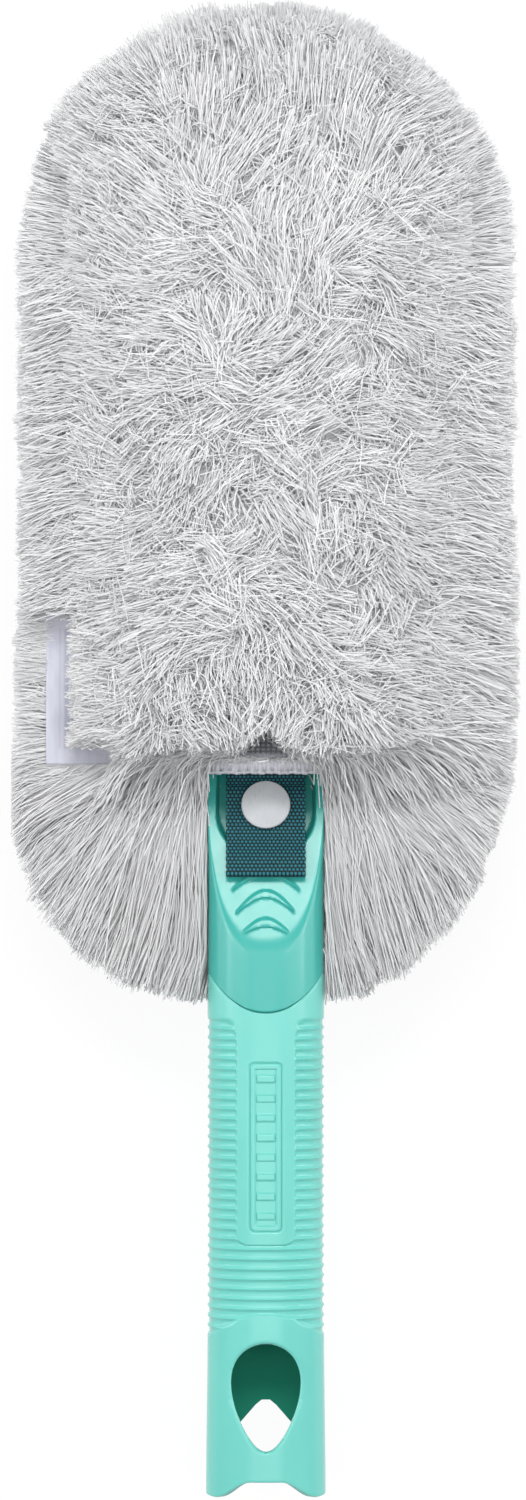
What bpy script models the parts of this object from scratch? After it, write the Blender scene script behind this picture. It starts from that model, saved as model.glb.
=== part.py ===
"""Hand duster: a hollow ribbed grip, a ramped neck with a press stud, a flexible paddle and a
washable pile sleeve. It lies on its back with its front up: +X to the right, +Y towards the head,
+Z out of the front. The pieces are drawn in a handle frame, with Y measured from the tail tips and
Z from the grip's axis, and hang on one empty that carries that frame to where the duster rests."""

import math
import random

import bmesh
import bpy
from mathutils import Matrix, Vector

# Whole duster
OVERALL_LENGTH = 0.4745
HEAD_WIDTH = 0.162
REST_HEIGHT = 0.046          # grip's axis above the surface that the pile rests on
CLEARANCE = 0.0003           # between pieces that touch
OVERRUN = 0.003              # how far a cutter runs past the face that it opens

# Grip
GRIP_WIDTH = 0.0371
GRIP_DEPTH = 0.028
GRIP_WALL = 0.0024
SECTION_POWER = 2.4          # 2 is an ellipse, more is squarer
TAIL_WIDTH = 0.0381
TAIL_FRONT_DIP = 0.0054      # concave front edge, at its middle
TAIL_NOTCH_RISE = 0.028      # arched notch in the rear wall
TAIL_NOTCH_FLAT = 0.0021     # half of the flat at the notch's crown
TAIL_DIP_FLAT_SHARE = 0.26   # of the half width: the dip is level inside it
TAIL_DIP_FADE_SHARE = 0.88   # and has run out here
TAIL_NOTCH_TURN_SHARE = 0.45 # how far down the side the notch reaches full height
RIBS_START = 0.0506
RIBS_ARCH_RISE = 0.0076      # how far the end piece arches up at the front
RIB_PITCH = 0.00315
RIB_DEPTH = 0.00055
RIB_COUNT = 32
RIBS_END = RIBS_START + RIB_COUNT * RIB_PITCH
SEAM_SETBACK = 0.0020
SEAM_DIP_Y = RIBS_END + SEAM_SETBACK     # lowest point of the seam, front and back
SEAM_RISE = 0.0126           # from there up to the sides
SEAM_POWER = 2.16
BULKHEAD_SETBACK = 0.0094    # behind the start of the ribs
BULKHEAD_Y = RIBS_START + BULKHEAD_SETBACK
BULKHEAD_THICKNESS = 0.0024

# Tongue panel down the grip's front
TONGUE_WIDTH = 0.0184
TONGUE_SETBACK = 0.0299      # behind the start of the ribs
TONGUE_START = RIBS_START + TONGUE_SETBACK
TONGUE_CORNER = 0.003
TONGUE_FLARE_LENGTH = 0.0097
TONGUE_FLARE_START = SEAM_DIP_Y - TONGUE_FLARE_LENGTH
TONGUE_FLARE_RADIUS = 0.0125
TONGUE_STEP = 0.0004         # width of the step down into the ribs

# Cartouche on the tongue
CARTOUCHE_WIDTH = 0.0107
CARTOUCHE_MARGIN = 0.0038    # from the tongue's end
CARTOUCHE_LENGTH = 0.0535
CARTOUCHE_START = TONGUE_START + CARTOUCHE_MARGIN
CARTOUCHE_END = CARTOUCHE_START + CARTOUCHE_LENGTH
CARTOUCHE_CORNER = 0.0017
CARTOUCHE_GROOVE = 0.0005
CARTOUCHE_RIM = 0.0015
CARTOUCHE_DEPTH = 0.0005
CARTOUCHE_BARS = 8
CARTOUCHE_BAR_WIDTH = 0.0022
CARTOUCHE_BAR_HEIGHT = 0.0003
CARTOUCHE_INSET_LIMIT_SHARE = 0.7  # of the corner that an inset may take away

# Hang hole
HOLE_WIDTH = 0.0220
HOLE_START = 0.0150
HOLE_LENGTH = 0.0341
HOLE_END = HOLE_START + HOLE_LENGTH
HOLE_EGG_SHARE = 0.32        # how much fuller the upper end is

# Neck
NECK_FIT = 0.0003            # spigot inside the grip's bore
SPIGOT_LENGTH = 0.033
SPIGOT_WALL = 0.0022
NECK_BORE_END = SEAM_DIP_Y + SEAM_RISE
RAMP_SETBACK = 0.0206        # from the seam's dip up to where the ramp starts
RAMP_START = SEAM_DIP_Y + RAMP_SETBACK
RAMP_ANGLE = math.radians(15.5)
REAR_TAPER_LEAD = 0.0090     # the rear starts to taper before the ramp
REAR_TAPER_LENGTH = 0.0400
REAR_TAPER_START = RAMP_START - REAR_TAPER_LEAD
REAR_TAPER_END = REAR_TAPER_START + REAR_TAPER_LENGTH
SNAP_DISTANCE = 0.0440       # up from the ramp's start
SNAP_Y = RAMP_START + SNAP_DISTANCE
HINGE_DISTANCE = 0.0100      # from the snap up to the strap's hinge
STRAP_HINGE_Y = SNAP_Y + HINGE_DISTANCE
BLADE_SETBACK = 0.0010
BLADE_LENGTH = 0.0330
BLADE_START = STRAP_HINGE_Y + BLADE_SETBACK
BLADE_END = BLADE_START + BLADE_LENGTH
BLADE_TIP_WIDTH = 0.030
BLADE_UNDER = 0.0067         # underside of the blade, below the grip's axis
BLADE_THICKNESS = 0.0054
TANG_WIDTH = 0.024
TANG_LENGTH = 0.020
TANG_THICKNESS = 0.0024

# Pocket in the ramp
POCKET_WIDTH = 0.0318
POCKET_DEPTH = 0.0040
POCKET_STRAIGHT_LEAD = 0.0020
POCKET_ROUND_Y = SNAP_Y - POCKET_STRAIGHT_LEAD   # where the sides turn into the round end
POCKET_ROUND = 0.0145        # length of the round end
POCKET_TOP_REACH = 0.0135    # past the snap
POCKET_TOP_Y = SNAP_Y + POCKET_TOP_REACH

# Crescents on the ramp
CRESCENT_HEIGHT = 0.0007
CRESCENT_SINK = 0.0006
CRESCENT_DISTANCES = (0.0184, 0.0116, 0.0054)    # tips, up from the ramp's start
CRESCENT_RISES = (0.0068, 0.0066, 0.0041)        # crowns, up from the tips
CRESCENT_HALF_WIDTHS = (0.0107, 0.0092, 0.0070)
CRESCENT_THICKNESS = (0.0026, 0.0029, 0.0033)

# Press stud
STUD_FLANGE_RADIUS = 0.0056
STUD_FLANGE = 0.0009
STUD_NECK_RADIUS = 0.0018
STUD_BULB_RADIUS = 0.0023
STUD_HEIGHT = 0.0019
STUD_SHANK_RADIUS = 0.0016
STUD_SHANK_LENGTH = 0.0020
SOCKET_RADIUS = 0.0056
SOCKET_BORE_RADIUS = 0.0031
SOCKET_HEIGHT = 0.0025
SOCKET_WEB = 0.0006
SHANK_RADIUS = 0.0012
CAP_RADIUS = 0.00775
CAP_THICKNESS = 0.0016
CAP_DOME = 0.0007

# Strap
STRAP_WIDTH = 0.025
STRAP_LAYER = 0.0012
STRAP_REACH = 0.0227         # free end past the snap
STRAP_END_Y = SNAP_Y - STRAP_REACH
STRAP_HINGE_DROP = 0.0004    # hinge line below the grip's axis
STRAP_STAND_OFF = 0.0018     # free end above the ramp
STRAP_BUCKLE = 0.0005        # slack between the two layers at the free end
STRAP_SINGLE_END = 0.0026    # one layer from the hinge to here, so that it clears the hem
STRAP_DOUBLE_START = 0.0034  # two layers from here
STRAP_OVER_RISE = ((0.30, 0.0), (0.56, 0.0), (0.68, 0.35), (0.80, 0.85), (0.90, 1.0))
STRAP_UNDER_RISE = ((0.84, 1.0), (0.72, 0.75), (0.62, 0.30), (0.52, 0.0))
STRAP_ROOT_LENGTH = 0.011

# Sleeve
PANEL_WIDTH = 0.088
PANEL_THICKNESS = 0.0010
PANEL_CORNER_GAP = 0.008     # straight edge left between the two top corners
PANEL_CORNER = (PANEL_WIDTH - PANEL_CORNER_GAP) / 2
PANEL_FOOT_CORNER = 0.010
PANEL_END_MARGIN = 0.0375    # fabric's far edge, short of the pile's
PANEL_TOP = OVERALL_LENGTH - PANEL_END_MARGIN
HEM_SETBACK = 0.0006         # from the strap's hinge
HEM_WRAP = 0.0006            # thickness of the hem round the fabric's edge
HEM_FOOT = STRAP_HINGE_Y + HEM_SETBACK
FRONT_PANEL_FOOT = HEM_FOOT + HEM_WRAP
REAR_PANEL_FOOT = FRONT_PANEL_FOOT
HEM_HEIGHT = 0.0067
HEM_THICKNESS = 0.0008
REAR_HEM_HEIGHT = 0.0060
SEAM_TAPE_WIDTH = 0.0016
SEAM_TAPE_SETBACK = 0.0074
SEAM_TAPE_FOOT = HEM_FOOT + SEAM_TAPE_SETBACK

# Paddle
PADDLE_SIDE_PLAY = 0.0021    # between the paddle and the seam
PADDLE_END_PLAY = 0.0041
PADDLE_INSET = CLEARANCE + SEAM_TAPE_WIDTH + PADDLE_SIDE_PLAY
PADDLE_WIDTH = PANEL_WIDTH - 2 * PADDLE_INSET
PADDLE_FOOT = BLADE_END + CLEARANCE
PADDLE_TOP = PANEL_TOP - CLEARANCE - SEAM_TAPE_WIDTH - PADDLE_END_PLAY
PADDLE_THICKNESS = 0.0050
PADDLE_CORNER = PANEL_CORNER - PADDLE_INSET
PADDLE_FOOT_CORNER = 0.014
PADDLE_SLOT_COUNT = 9
PADDLE_RAIL = 0.010          # solid edge outside the slots
PADDLE_SLOT_SHARE = 0.506    # of the slots' pitch
PADDLE_SLOT_SETBACK = 0.0177
PADDLE_SLOT_START = PADDLE_FOOT + PADDLE_SLOT_SETBACK
PADDLE_SLOT_END_MARGIN = 0.0081  # last slot, short of the paddle's far edge
PADDLE_SPINE = 0.008

# Label
LABEL_LENGTH = 0.048
LABEL_REACH = 0.0255
LABEL_SETBACK = 0.0032
LABEL_FOOT = HEM_FOOT + LABEL_SETBACK
LABEL_THICKNESS = 0.0006
LABEL_LIFT = 0.0010          # above the grip's axis

# Pile
PILE_COLUMN_COUNT = 13
PILE_LIP = 0.0012            # ground fabric at the rim of each slice
PILE_RISE = 0.012            # crown of the ground over the middle
PILE_STRAIGHT_SETBACK = 0.0114
PILE_STRAIGHT_START = HEM_FOOT + PILE_STRAIGHT_SETBACK
PILE_END_LENGTH = 0.0800     # round end of the pile
PILE_STRAIGHT_END = OVERALL_LENGTH - PILE_END_LENGTH
FRONT_PILE_SETBACK = 0.0074
FRONT_PILE_FOOT = HEM_FOOT + FRONT_PILE_SETBACK
FRONT_PILE_LIFT = 0.0044     # lowest tips above the hem's edge
FRONT_PILE_REACH = HEM_FOOT + FRONT_PILE_LIFT
FRONT_PILE_HEIGHT = 0.0425
FRONT_PILE_WIDTH = 0.136
FRONT_PILE_END_MARGIN = 0.0125   # short of the rear pile's far end
FRONT_PILE_TOP = OVERALL_LENGTH - FRONT_PILE_END_MARGIN
FRONT_FOOT_COUNT = 2
FRONT_STRAIGHT_COUNTS = (4, 4, 3)
FRONT_SHED = 0.012           # length over which the front pile rounds off above the hem
REAR_PILE_FOOT = REAR_PANEL_FOOT + CLEARANCE
REAR_PILE_DROP = 0.0711      # lowest tips below the hem's edge
REAR_PILE_REACH = HEM_FOOT - REAR_PILE_DROP
REAR_FOOT_COUNT = 4
REAR_STRAIGHT_COUNTS = (3, 4, 4)
END_COUNT = 5
END_TURN = math.radians(78)  # how far round its end the ground carries tufts
TIP_SHARE = 0.56             # tuft's tip, of its cell on the trimmed outline
TIP_SHIFT_SHARE = 0.18
OUTLINE_POWER = 2.2
FOOT_POWER = 2.4             # the outline round the foot is squarer
FLATTEN_POWER = 3.6          # how flat the pile lies on the surface
PILE_TRIM = 0.0005           # trimmed off the pile at its length, width and resting plane
FRONT_LENGTH_SHARE = 0.14    # how much shorter than nominal a tuft may be
REAR_LENGTH_SHARE = 0.012

FACES_ROUND = 40
FACES_BORE = 24
FOLD_STEPS = 4               # facets round each fold of the strap
BLADE_TOP = -BLADE_UNDER + BLADE_THICKNESS
HEAD_MIDDLE = -BLADE_UNDER + BLADE_THICKNESS / 2
STRAP_UNDER = BLADE_TOP + CLEARANCE
FRONT_PANEL_UNDER = STRAP_UNDER + STRAP_LAYER + CLEARANCE
FRONT_PANEL_OVER = FRONT_PANEL_UNDER + PANEL_THICKNESS
REAR_PANEL_OVER = -BLADE_UNDER - CLEARANCE
REAR_PANEL_UNDER = REAR_PANEL_OVER - PANEL_THICKNESS

COLOURS = {
    "mint": ((0.175, 0.665, 0.555), 0.34, 0.0),
    "mint_neck": ((0.145, 0.595, 0.500), 0.42, 0.0),
    "core": ((0.62, 0.64, 0.64), 0.50, 0.0),
    "snap_white": ((0.60, 0.62, 0.64), 0.22, 0.0),
    "webbing": ((0.012, 0.130, 0.175), 0.85, 0.0),
    "knit": ((0.50, 0.50, 0.53), 0.95, 0.0),
    "hem": ((0.80, 0.80, 0.86), 0.90, 0.0),
    "satin": ((0.74, 0.76, 0.86), 0.45, 0.0),
    "pile": ((0.80, 0.81, 0.83), 0.95, 0.0),
}


def clear_scene():
    for item in list(bpy.data.objects):
        bpy.data.objects.remove(item, do_unlink=True)


def make_material(name):
    colour, roughness, metallic = COLOURS[name]
    material = bpy.data.materials.new(name)
    material.use_nodes = True
    shader = material.node_tree.nodes["Principled BSDF"]
    shader.inputs["Base Color"].default_value = (*colour, 1.0)
    shader.inputs["Roughness"].default_value = roughness
    shader.inputs["Metallic"].default_value = metallic
    return material


class Workshop:
    """Makes the named objects, all on one empty, and the hidden cutters."""

    def __init__(self):
        self.materials = {name: make_material(name) for name in COLOURS}
        self.base = bpy.data.objects.new("duster_frame", None)
        self.base.location = (0.0, -OVERALL_LENGTH / 2, REST_HEIGHT)
        bpy.context.scene.collection.objects.link(self.base)

    def place(self, name, mesh, parent=None):
        piece = bpy.data.objects.new(name, mesh)
        bpy.context.scene.collection.objects.link(piece)
        piece.parent = parent or self.base
        return piece

    def piece(self, name, mesh, material, smooth_angle=math.radians(35), parent=None):
        mesh.materials.append(self.materials[material])
        mesh.shade_smooth()
        mesh.set_sharp_from_angle(angle=smooth_angle)
        return self.place(name, mesh, parent)

    def tool(self, name, mesh, parent=None):
        tool = self.place(name, mesh, parent)
        tool.hide_render = True
        tool.display_type = "WIRE"
        return tool

    def cut(self, piece, mesh, operation="DIFFERENCE"):
        label = operation.lower() + str(len(piece.modifiers))
        modifier = piece.modifiers.new(label, "BOOLEAN")
        modifier.operation = operation
        modifier.solver = "EXACT"
        modifier.object = self.tool(piece.name + "_" + label, mesh, piece.parent)


def mesh_of(points, faces):
    """A closed mesh with its faces turned outwards."""
    mesh = bpy.data.meshes.new("form")
    mesh.from_pydata([tuple(point) for point in points], [], faces)
    form = bmesh.new()
    form.from_mesh(mesh)
    bmesh.ops.recalc_face_normals(form, faces=form.faces)
    form.to_mesh(mesh)
    form.free()
    return mesh


def loft(rings):
    """Skins rings of equal count and closes the first and the last with flat faces."""
    count = len(rings[0])
    points = [point for ring in rings for point in ring]
    faces = []
    for row in range(len(rings) - 1):
        for index in range(count):
            after = (index + 1) % count
            low = row * count
            high = low + count
            faces.append((low + index, low + after, high + after, high + index))
    last = (len(rings) - 1) * count
    faces.append(tuple(range(count)))
    faces.append(tuple(range(last, last + count)))
    return mesh_of(points, faces)


def prism(outline, low, high, frame=None):
    """An outline in X and Y, raised from low to high in Z, in a frame of its own if given."""
    rings = [[Vector((x, y, level)) for x, y in outline] for level in (low, high)]
    if frame:
        rings = [[frame @ point for point in ring] for ring in rings]
    return loft(rings)


def turned(profile, frame, faces=FACES_ROUND):
    """A profile of radius and height turned about the frame's Z axis, closed at both ends."""
    rings = []
    for radius, height in profile:
        turns = [2 * math.pi * step / faces for step in range(faces)]
        rings.append([frame @ Vector((radius * math.cos(t), radius * math.sin(t), height))
                      for t in turns])
    return loft(rings)


def arc(centre_x, centre_y, radius, start, end, steps):
    """Points on an arc, with angles in degrees."""
    points = []
    for step in range(steps + 1):
        angle = math.radians(start + (end - start) * step / steps)
        points.append((centre_x + radius * math.cos(angle), centre_y + radius * math.sin(angle)))
    return points


def rounded_outline(half_width, foot, top, foot_corner, top_corner, steps=8):
    """A rectangle standing on foot, with round corners of two radii."""
    outline = []
    outline += arc(half_width - foot_corner, foot + foot_corner, foot_corner, -90, 0, steps)
    outline += arc(half_width - top_corner, top - top_corner, top_corner, 0, 90, steps)
    outline += arc(-half_width + top_corner, top - top_corner, top_corner, 90, 180, steps)
    outline += arc(-half_width + foot_corner, foot + foot_corner, foot_corner, 180, 270, steps)
    return outline


def smooth_step(share):
    share = min(max(share, 0.0), 1.0)
    return share * share * (3 - 2 * share)


def blend(low, high, share):
    return low + (high - low) * share


def section_point(angle, half_width, front, rear):
    """A point of the handle's section: angle 90 degrees is the front's middle."""
    power = 2 / SECTION_POWER
    across = math.copysign(abs(math.cos(angle)) ** power, math.cos(angle))
    out = math.copysign(abs(math.sin(angle)) ** power, math.sin(angle))
    return half_width * across, (front if out > 0 else rear) * out


def side_share(angle):
    """How far out to the side a point of the section lies, from 0 to 1."""
    return abs(math.cos(angle)) ** (2 / SECTION_POWER)


def edge_angle(half_width_of_panel):
    """Section angle at which a panel of that half width ends on the front."""
    share = min(half_width_of_panel / (GRIP_WIDTH / 2), 1.0)
    return math.acos(share ** (SECTION_POWER / 2))


def column_angles(panel_half_width):
    """Angles of the section's columns, with close pairs at the two edges of the tongue."""
    edge = edge_angle(panel_half_width)
    groove = edge_angle(min(panel_half_width + TONGUE_STEP, GRIP_WIDTH / 2))
    rear_steps = 11
    right = [math.pi / 2, (math.pi / 2 + edge) / 2, edge]
    right += [blend(groove, -math.pi / 2, step / rear_steps) for step in range(rear_steps + 1)]
    left = [math.pi - angle for angle in reversed(right[1:-1])]
    return right + left


def tongue_half_width(y):
    """Half width of the smooth tongue at a height, round at its foot and flared at its top."""
    half = TONGUE_WIDTH / 2
    if TONGUE_START < y < TONGUE_START + TONGUE_CORNER:
        drop = TONGUE_START + TONGUE_CORNER - y
        half -= TONGUE_CORNER - math.sqrt(TONGUE_CORNER ** 2 - drop ** 2)
    if y > TONGUE_FLARE_START:
        rise = min(y - TONGUE_FLARE_START, TONGUE_FLARE_RADIUS)
        half += TONGUE_FLARE_RADIUS - math.sqrt(TONGUE_FLARE_RADIUS ** 2 - rise ** 2)
    return min(half, GRIP_WIDTH / 2)


def seam_y(angle):
    return SEAM_DIP_Y + SEAM_RISE * side_share(angle) ** SEAM_POWER


def tail_edge_y(angle):
    """The grip's open end: a shallow dip in front and a deep arched notch behind."""
    side = side_share(angle)
    if math.sin(angle) >= 0:
        fade = (TAIL_DIP_FADE_SHARE - side) / (TAIL_DIP_FADE_SHARE - TAIL_DIP_FLAT_SHARE)
        return TAIL_FRONT_DIP * smooth_step(fade)
    slope_run = max(side * GRIP_WIDTH / 2 - TAIL_NOTCH_FLAT, 0.0)
    turn = smooth_step(-math.sin(angle) / TAIL_NOTCH_TURN_SHARE)
    return (TAIL_NOTCH_RISE - slope_run) * turn


def tail_half_width(y):
    share = min(max(y / RIBS_START, 0.0), 1.0)
    return blend(TAIL_WIDTH, GRIP_WIDTH, smooth_step(share)) / 2


def grip_point(angle, y, depth_in):
    across, out = section_point(angle, tail_half_width(y) - depth_in,
                                GRIP_DEPTH / 2 - depth_in, GRIP_DEPTH / 2 - depth_in)
    return Vector((across, y, out))


def rib_groove(column, columns, angle, y, is_groove):
    """Depth of the rib groove at one column: none on the tongue or on the arched end piece."""
    if not is_groove:
        return 0.0
    arch = RIBS_START + RIBS_ARCH_RISE * (1 - side_share(angle) ** 2)
    if y < arch:
        return 0.0
    on_tongue = column <= 2 or column >= columns - 2
    if on_tongue and y > TONGUE_START:
        return 0.0
    return RIB_DEPTH


def grip_outer_rings():
    plain = column_angles(TONGUE_WIDTH / 2)
    rings = []
    tail_rows = 7
    for row in range(tail_rows):
        ring = []
        for angle in plain:
            y = blend(tail_edge_y(angle), RIBS_START - RIB_PITCH / 2, row / tail_rows)
            ring.append(grip_point(angle, y, 0.0))
        rings.append(ring)
    for row in range(2 * RIB_COUNT + 1):
        y = RIBS_START + row * RIB_PITCH / 2
        angles = column_angles(tongue_half_width(y))
        ring = []
        for column, angle in enumerate(angles):
            groove = rib_groove(column, len(angles), angle, y, row % 2 == 1)
            ring.append(grip_point(angle, y, groove))
        rings.append(ring)
    rings.append([grip_point(angle, seam_y(angle), 0.0) for angle in plain])
    return rings


def grip_rings():
    """Outer skin from the bulkhead's lower face out, round both ends and back to its upper face."""
    plain = column_angles(TONGUE_WIDTH / 2)
    bulkhead_top = BULKHEAD_Y + BULKHEAD_THICKNESS
    tail_cavity = [[grip_point(angle, y, GRIP_WALL) for angle in plain]
                   for y in (BULKHEAD_Y, RIBS_START, TAIL_NOTCH_RISE + GRIP_WALL)]
    tail_cavity.append([grip_point(angle, tail_edge_y(angle), GRIP_WALL) for angle in plain])
    neck_cavity = [[grip_point(angle, seam_y(angle), GRIP_WALL) for angle in plain]]
    neck_cavity += [[grip_point(angle, y, GRIP_WALL) for angle in plain]
                    for y in (SEAM_DIP_Y - SPIGOT_LENGTH, bulkhead_top)]
    return tail_cavity + grip_outer_rings() + neck_cavity


def egg_outline(steps=36):
    middle = (HOLE_START + HOLE_END) / 2
    half_length = (HOLE_END - HOLE_START) / 2
    turns = [2 * math.pi * step / steps for step in range(steps)]
    widths = [math.cos(t) * (1 + HOLE_EGG_SHARE * math.sin(t)) for t in turns]
    scale = HOLE_WIDTH / 2 / max(widths)
    return [(scale * width, middle + half_length * math.sin(t))
            for width, t in zip(widths, turns)]


def cartouche_level():
    """Height of the grip's front at the cartouche's long edges."""
    share = (CARTOUCHE_WIDTH / 2) / (GRIP_WIDTH / 2)
    return GRIP_DEPTH / 2 * (1 - share ** SECTION_POWER) ** (1 / SECTION_POWER)


def cartouche_outline(inset):
    corner = CARTOUCHE_CORNER - min(inset, CARTOUCHE_CORNER * CARTOUCHE_INSET_LIMIT_SHARE)
    return rounded_outline(CARTOUCHE_WIDTH / 2 - inset, CARTOUCHE_START + inset,
                           CARTOUCHE_END - inset, corner, corner, steps=4)


def make_grip(shop):
    grip = shop.piece("grip", loft(grip_rings()), "mint")
    front = GRIP_DEPTH / 2 + OVERRUN
    shop.cut(grip, prism(egg_outline(), 0.0, front))
    floor = cartouche_level() - CARTOUCHE_DEPTH
    outer = cartouche_outline(0.0)
    inner = cartouche_outline(CARTOUCHE_GROOVE)
    shop.cut(grip, frame_prism(outer, inner, floor, front))
    recess_inset = CARTOUCHE_GROOVE + CARTOUCHE_RIM
    recess = cartouche_outline(recess_inset)
    shop.cut(grip, prism(recess, floor, front))
    length = CARTOUCHE_END - CARTOUCHE_START - 2 * recess_inset
    pitch = length / CARTOUCHE_BARS
    half = CARTOUCHE_WIDTH / 2 - recess_inset - CARTOUCHE_GROOVE
    bars = []
    for step in range(CARTOUCHE_BARS):
        middle = CARTOUCHE_START + recess_inset + (step + 0.5) * pitch
        bars.append([(-half, middle - CARTOUCHE_BAR_WIDTH / 2),
                     (half, middle - CARTOUCHE_BAR_WIDTH / 2),
                     (half, middle + CARTOUCHE_BAR_WIDTH / 2),
                     (-half, middle + CARTOUCHE_BAR_WIDTH / 2)])
    shop.cut(grip, joined([prism(bar, floor - CARTOUCHE_DEPTH, floor + CARTOUCHE_BAR_HEIGHT)
                           for bar in bars]), "UNION")


def frame_prism(outer, inner, low, high):
    """A closed frame between two outlines of equal count."""
    count = len(outer)
    points = [(x, y, level) for level in (low, high) for outline in (outer, inner)
              for x, y in outline]
    faces = []
    for index in range(count):
        after = (index + 1) % count
        low_out, low_in, high_out, high_in = 0, count, 2 * count, 3 * count
        for first, second in ((low_out, high_out), (high_out, high_in),
                              (high_in, low_in), (low_in, low_out)):
            faces.append((first + index, first + after, second + after, second + index))
    return mesh_of(points, faces)


def joined(meshes):
    """Several separate closed meshes as one cutter."""
    form = bmesh.new()
    for mesh in meshes:
        form.from_mesh(mesh)
    result = bpy.data.meshes.new("joined")
    form.to_mesh(result)
    form.free()
    return result


def ramp_frame():
    """Frame on the ramp: X across, Y up the ramp towards the head, Z out of it."""
    return (Matrix.Translation((0.0, RAMP_START, GRIP_DEPTH / 2))
            @ Matrix.Rotation(-RAMP_ANGLE, 4, "X"))


def along_ramp(y):
    """Distance up the ramp of a place given along the handle."""
    return (y - RAMP_START) / math.cos(RAMP_ANGLE)


def neck_half_width(y):
    share = smooth_step((y - BLADE_START) / (BLADE_END - BLADE_START))
    return blend(GRIP_WIDTH, BLADE_TIP_WIDTH, share) / 2


def neck_rear(y):
    share = smooth_step((y - REAR_TAPER_START) / (REAR_TAPER_END - REAR_TAPER_START))
    return blend(GRIP_DEPTH / 2, BLADE_UNDER, share)


def neck_rings():
    """From the end of the bore, down the spigot, round the shoulder and up to the blade's tip."""
    angles = column_angles(TONGUE_WIDTH / 2)
    fit = GRIP_WALL + NECK_FIT
    bore = fit + SPIGOT_WALL
    spigot_foot = SEAM_DIP_Y - SPIGOT_LENGTH
    rings = [[grip_point(angle, y, bore) for angle in angles]
             for y in (NECK_BORE_END, spigot_foot)]
    rings.append([grip_point(angle, spigot_foot, fit) for angle in angles])
    rings.append([grip_point(angle, seam_y(angle) + CLEARANCE, fit) for angle in angles])
    rings.append([grip_point(angle, seam_y(angle) + CLEARANCE, 0.0) for angle in angles])
    steps = 14
    shoulder = SEAM_DIP_Y + SEAM_RISE + GRIP_WALL
    for step in range(steps + 1):
        y = blend(shoulder, BLADE_END, step / steps)
        ring = []
        for angle in angles:
            across, out = section_point(angle, neck_half_width(y), GRIP_DEPTH / 2, neck_rear(y))
            ring.append(Vector((across, y, out)))
        rings.append(ring)
    return rings


def ramp_cutter():
    """Everything above the ramp, and above the blade's flat top beyond it."""
    slope = math.tan(RAMP_ANGLE)
    start = RAMP_START - OVERRUN
    side = [(start, GRIP_DEPTH / 2 + OVERRUN * slope),
            (RAMP_START + (GRIP_DEPTH / 2 - BLADE_TOP) / slope, BLADE_TOP),
            (BLADE_END + OVERRUN, BLADE_TOP),
            (BLADE_END + OVERRUN, GRIP_DEPTH),
            (start, GRIP_DEPTH)]
    half = GRIP_WIDTH / 2 + OVERRUN
    return loft([[Vector((x, y, z)) for y, z in side] for x in (-half, half)])


def pocket_outline():
    half = POCKET_WIDTH / 2
    round_start = along_ramp(POCKET_ROUND_Y)
    top = along_ramp(POCKET_TOP_Y)
    steps = 14
    outline = [(half, top), (-half, top)]
    for step in range(steps + 1):
        angle = math.pi + math.pi * step / steps
        outline.append((half * math.cos(angle), round_start + POCKET_ROUND * math.sin(angle)))
    return outline


def crescent_outline(distance, climb, half_width, thickness, steps=10):
    tip = along_ramp(RAMP_START + distance)
    rise = along_ramp(RAMP_START + distance + climb) - tip
    shares = [step / steps for step in range(steps + 1)]
    outer = [(blend(-half_width, half_width, share), tip + rise * math.sin(math.pi * share))
             for share in shares]
    inner = [(blend(-half_width, half_width, share),
              tip + (rise - thickness) * math.sin(math.pi * share)) for share in shares]
    return outer + list(reversed(inner[1:-1]))


def make_neck(shop):
    frame = ramp_frame()
    neck = shop.piece("neck", loft(neck_rings()), "mint_neck")
    shop.cut(neck, ramp_cutter())
    shop.cut(neck, prism(pocket_outline(), -POCKET_DEPTH, OVERRUN, frame))
    for sizes in zip(CRESCENT_DISTANCES, CRESCENT_RISES, CRESCENT_HALF_WIDTHS,
                     CRESCENT_THICKNESS):
        shop.cut(neck, prism(crescent_outline(*sizes), -CRESCENT_SINK, CRESCENT_HEIGHT, frame),
                 "UNION")
    half = TANG_WIDTH / 2 + CLEARANCE
    slot = rounded_outline(half, BLADE_END - TANG_LENGTH - CLEARANCE, BLADE_END + OVERRUN,
                           CLEARANCE, CLEARANCE, steps=1)
    depth = TANG_THICKNESS / 2 + CLEARANCE
    shop.cut(neck, prism(slot, HEAD_MIDDLE - depth, HEAD_MIDDLE + depth))
    bore = STUD_SHANK_RADIUS + CLEARANCE
    foot = -POCKET_DEPTH - STUD_SHANK_LENGTH - CLEARANCE
    shop.cut(neck, turned([(bore, foot), (bore, OVERRUN - POCKET_DEPTH)], snap_frame(frame),
                          FACES_BORE))


def snap_frame(frame):
    return frame @ Matrix.Translation((0.0, along_ramp(SNAP_Y), 0.0))


def make_stud(shop, frame):
    foot = -POCKET_DEPTH + CLEARANCE
    shank_end = -POCKET_DEPTH - STUD_SHANK_LENGTH
    top = foot + STUD_FLANGE + STUD_HEIGHT
    bulb = top - STUD_BULB_RADIUS / 4
    profile = [(STUD_SHANK_RADIUS, shank_end),
               (STUD_SHANK_RADIUS, foot),
               (STUD_FLANGE_RADIUS, foot),
               (STUD_FLANGE_RADIUS, foot + STUD_FLANGE),
               (STUD_NECK_RADIUS, foot + STUD_FLANGE),
               (STUD_NECK_RADIUS, bulb - STUD_BULB_RADIUS / 4),
               (STUD_BULB_RADIUS, bulb),
               (STUD_NECK_RADIUS, top)]
    shop.piece("snap_stud", turned(profile, frame), "snap_white")


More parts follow.
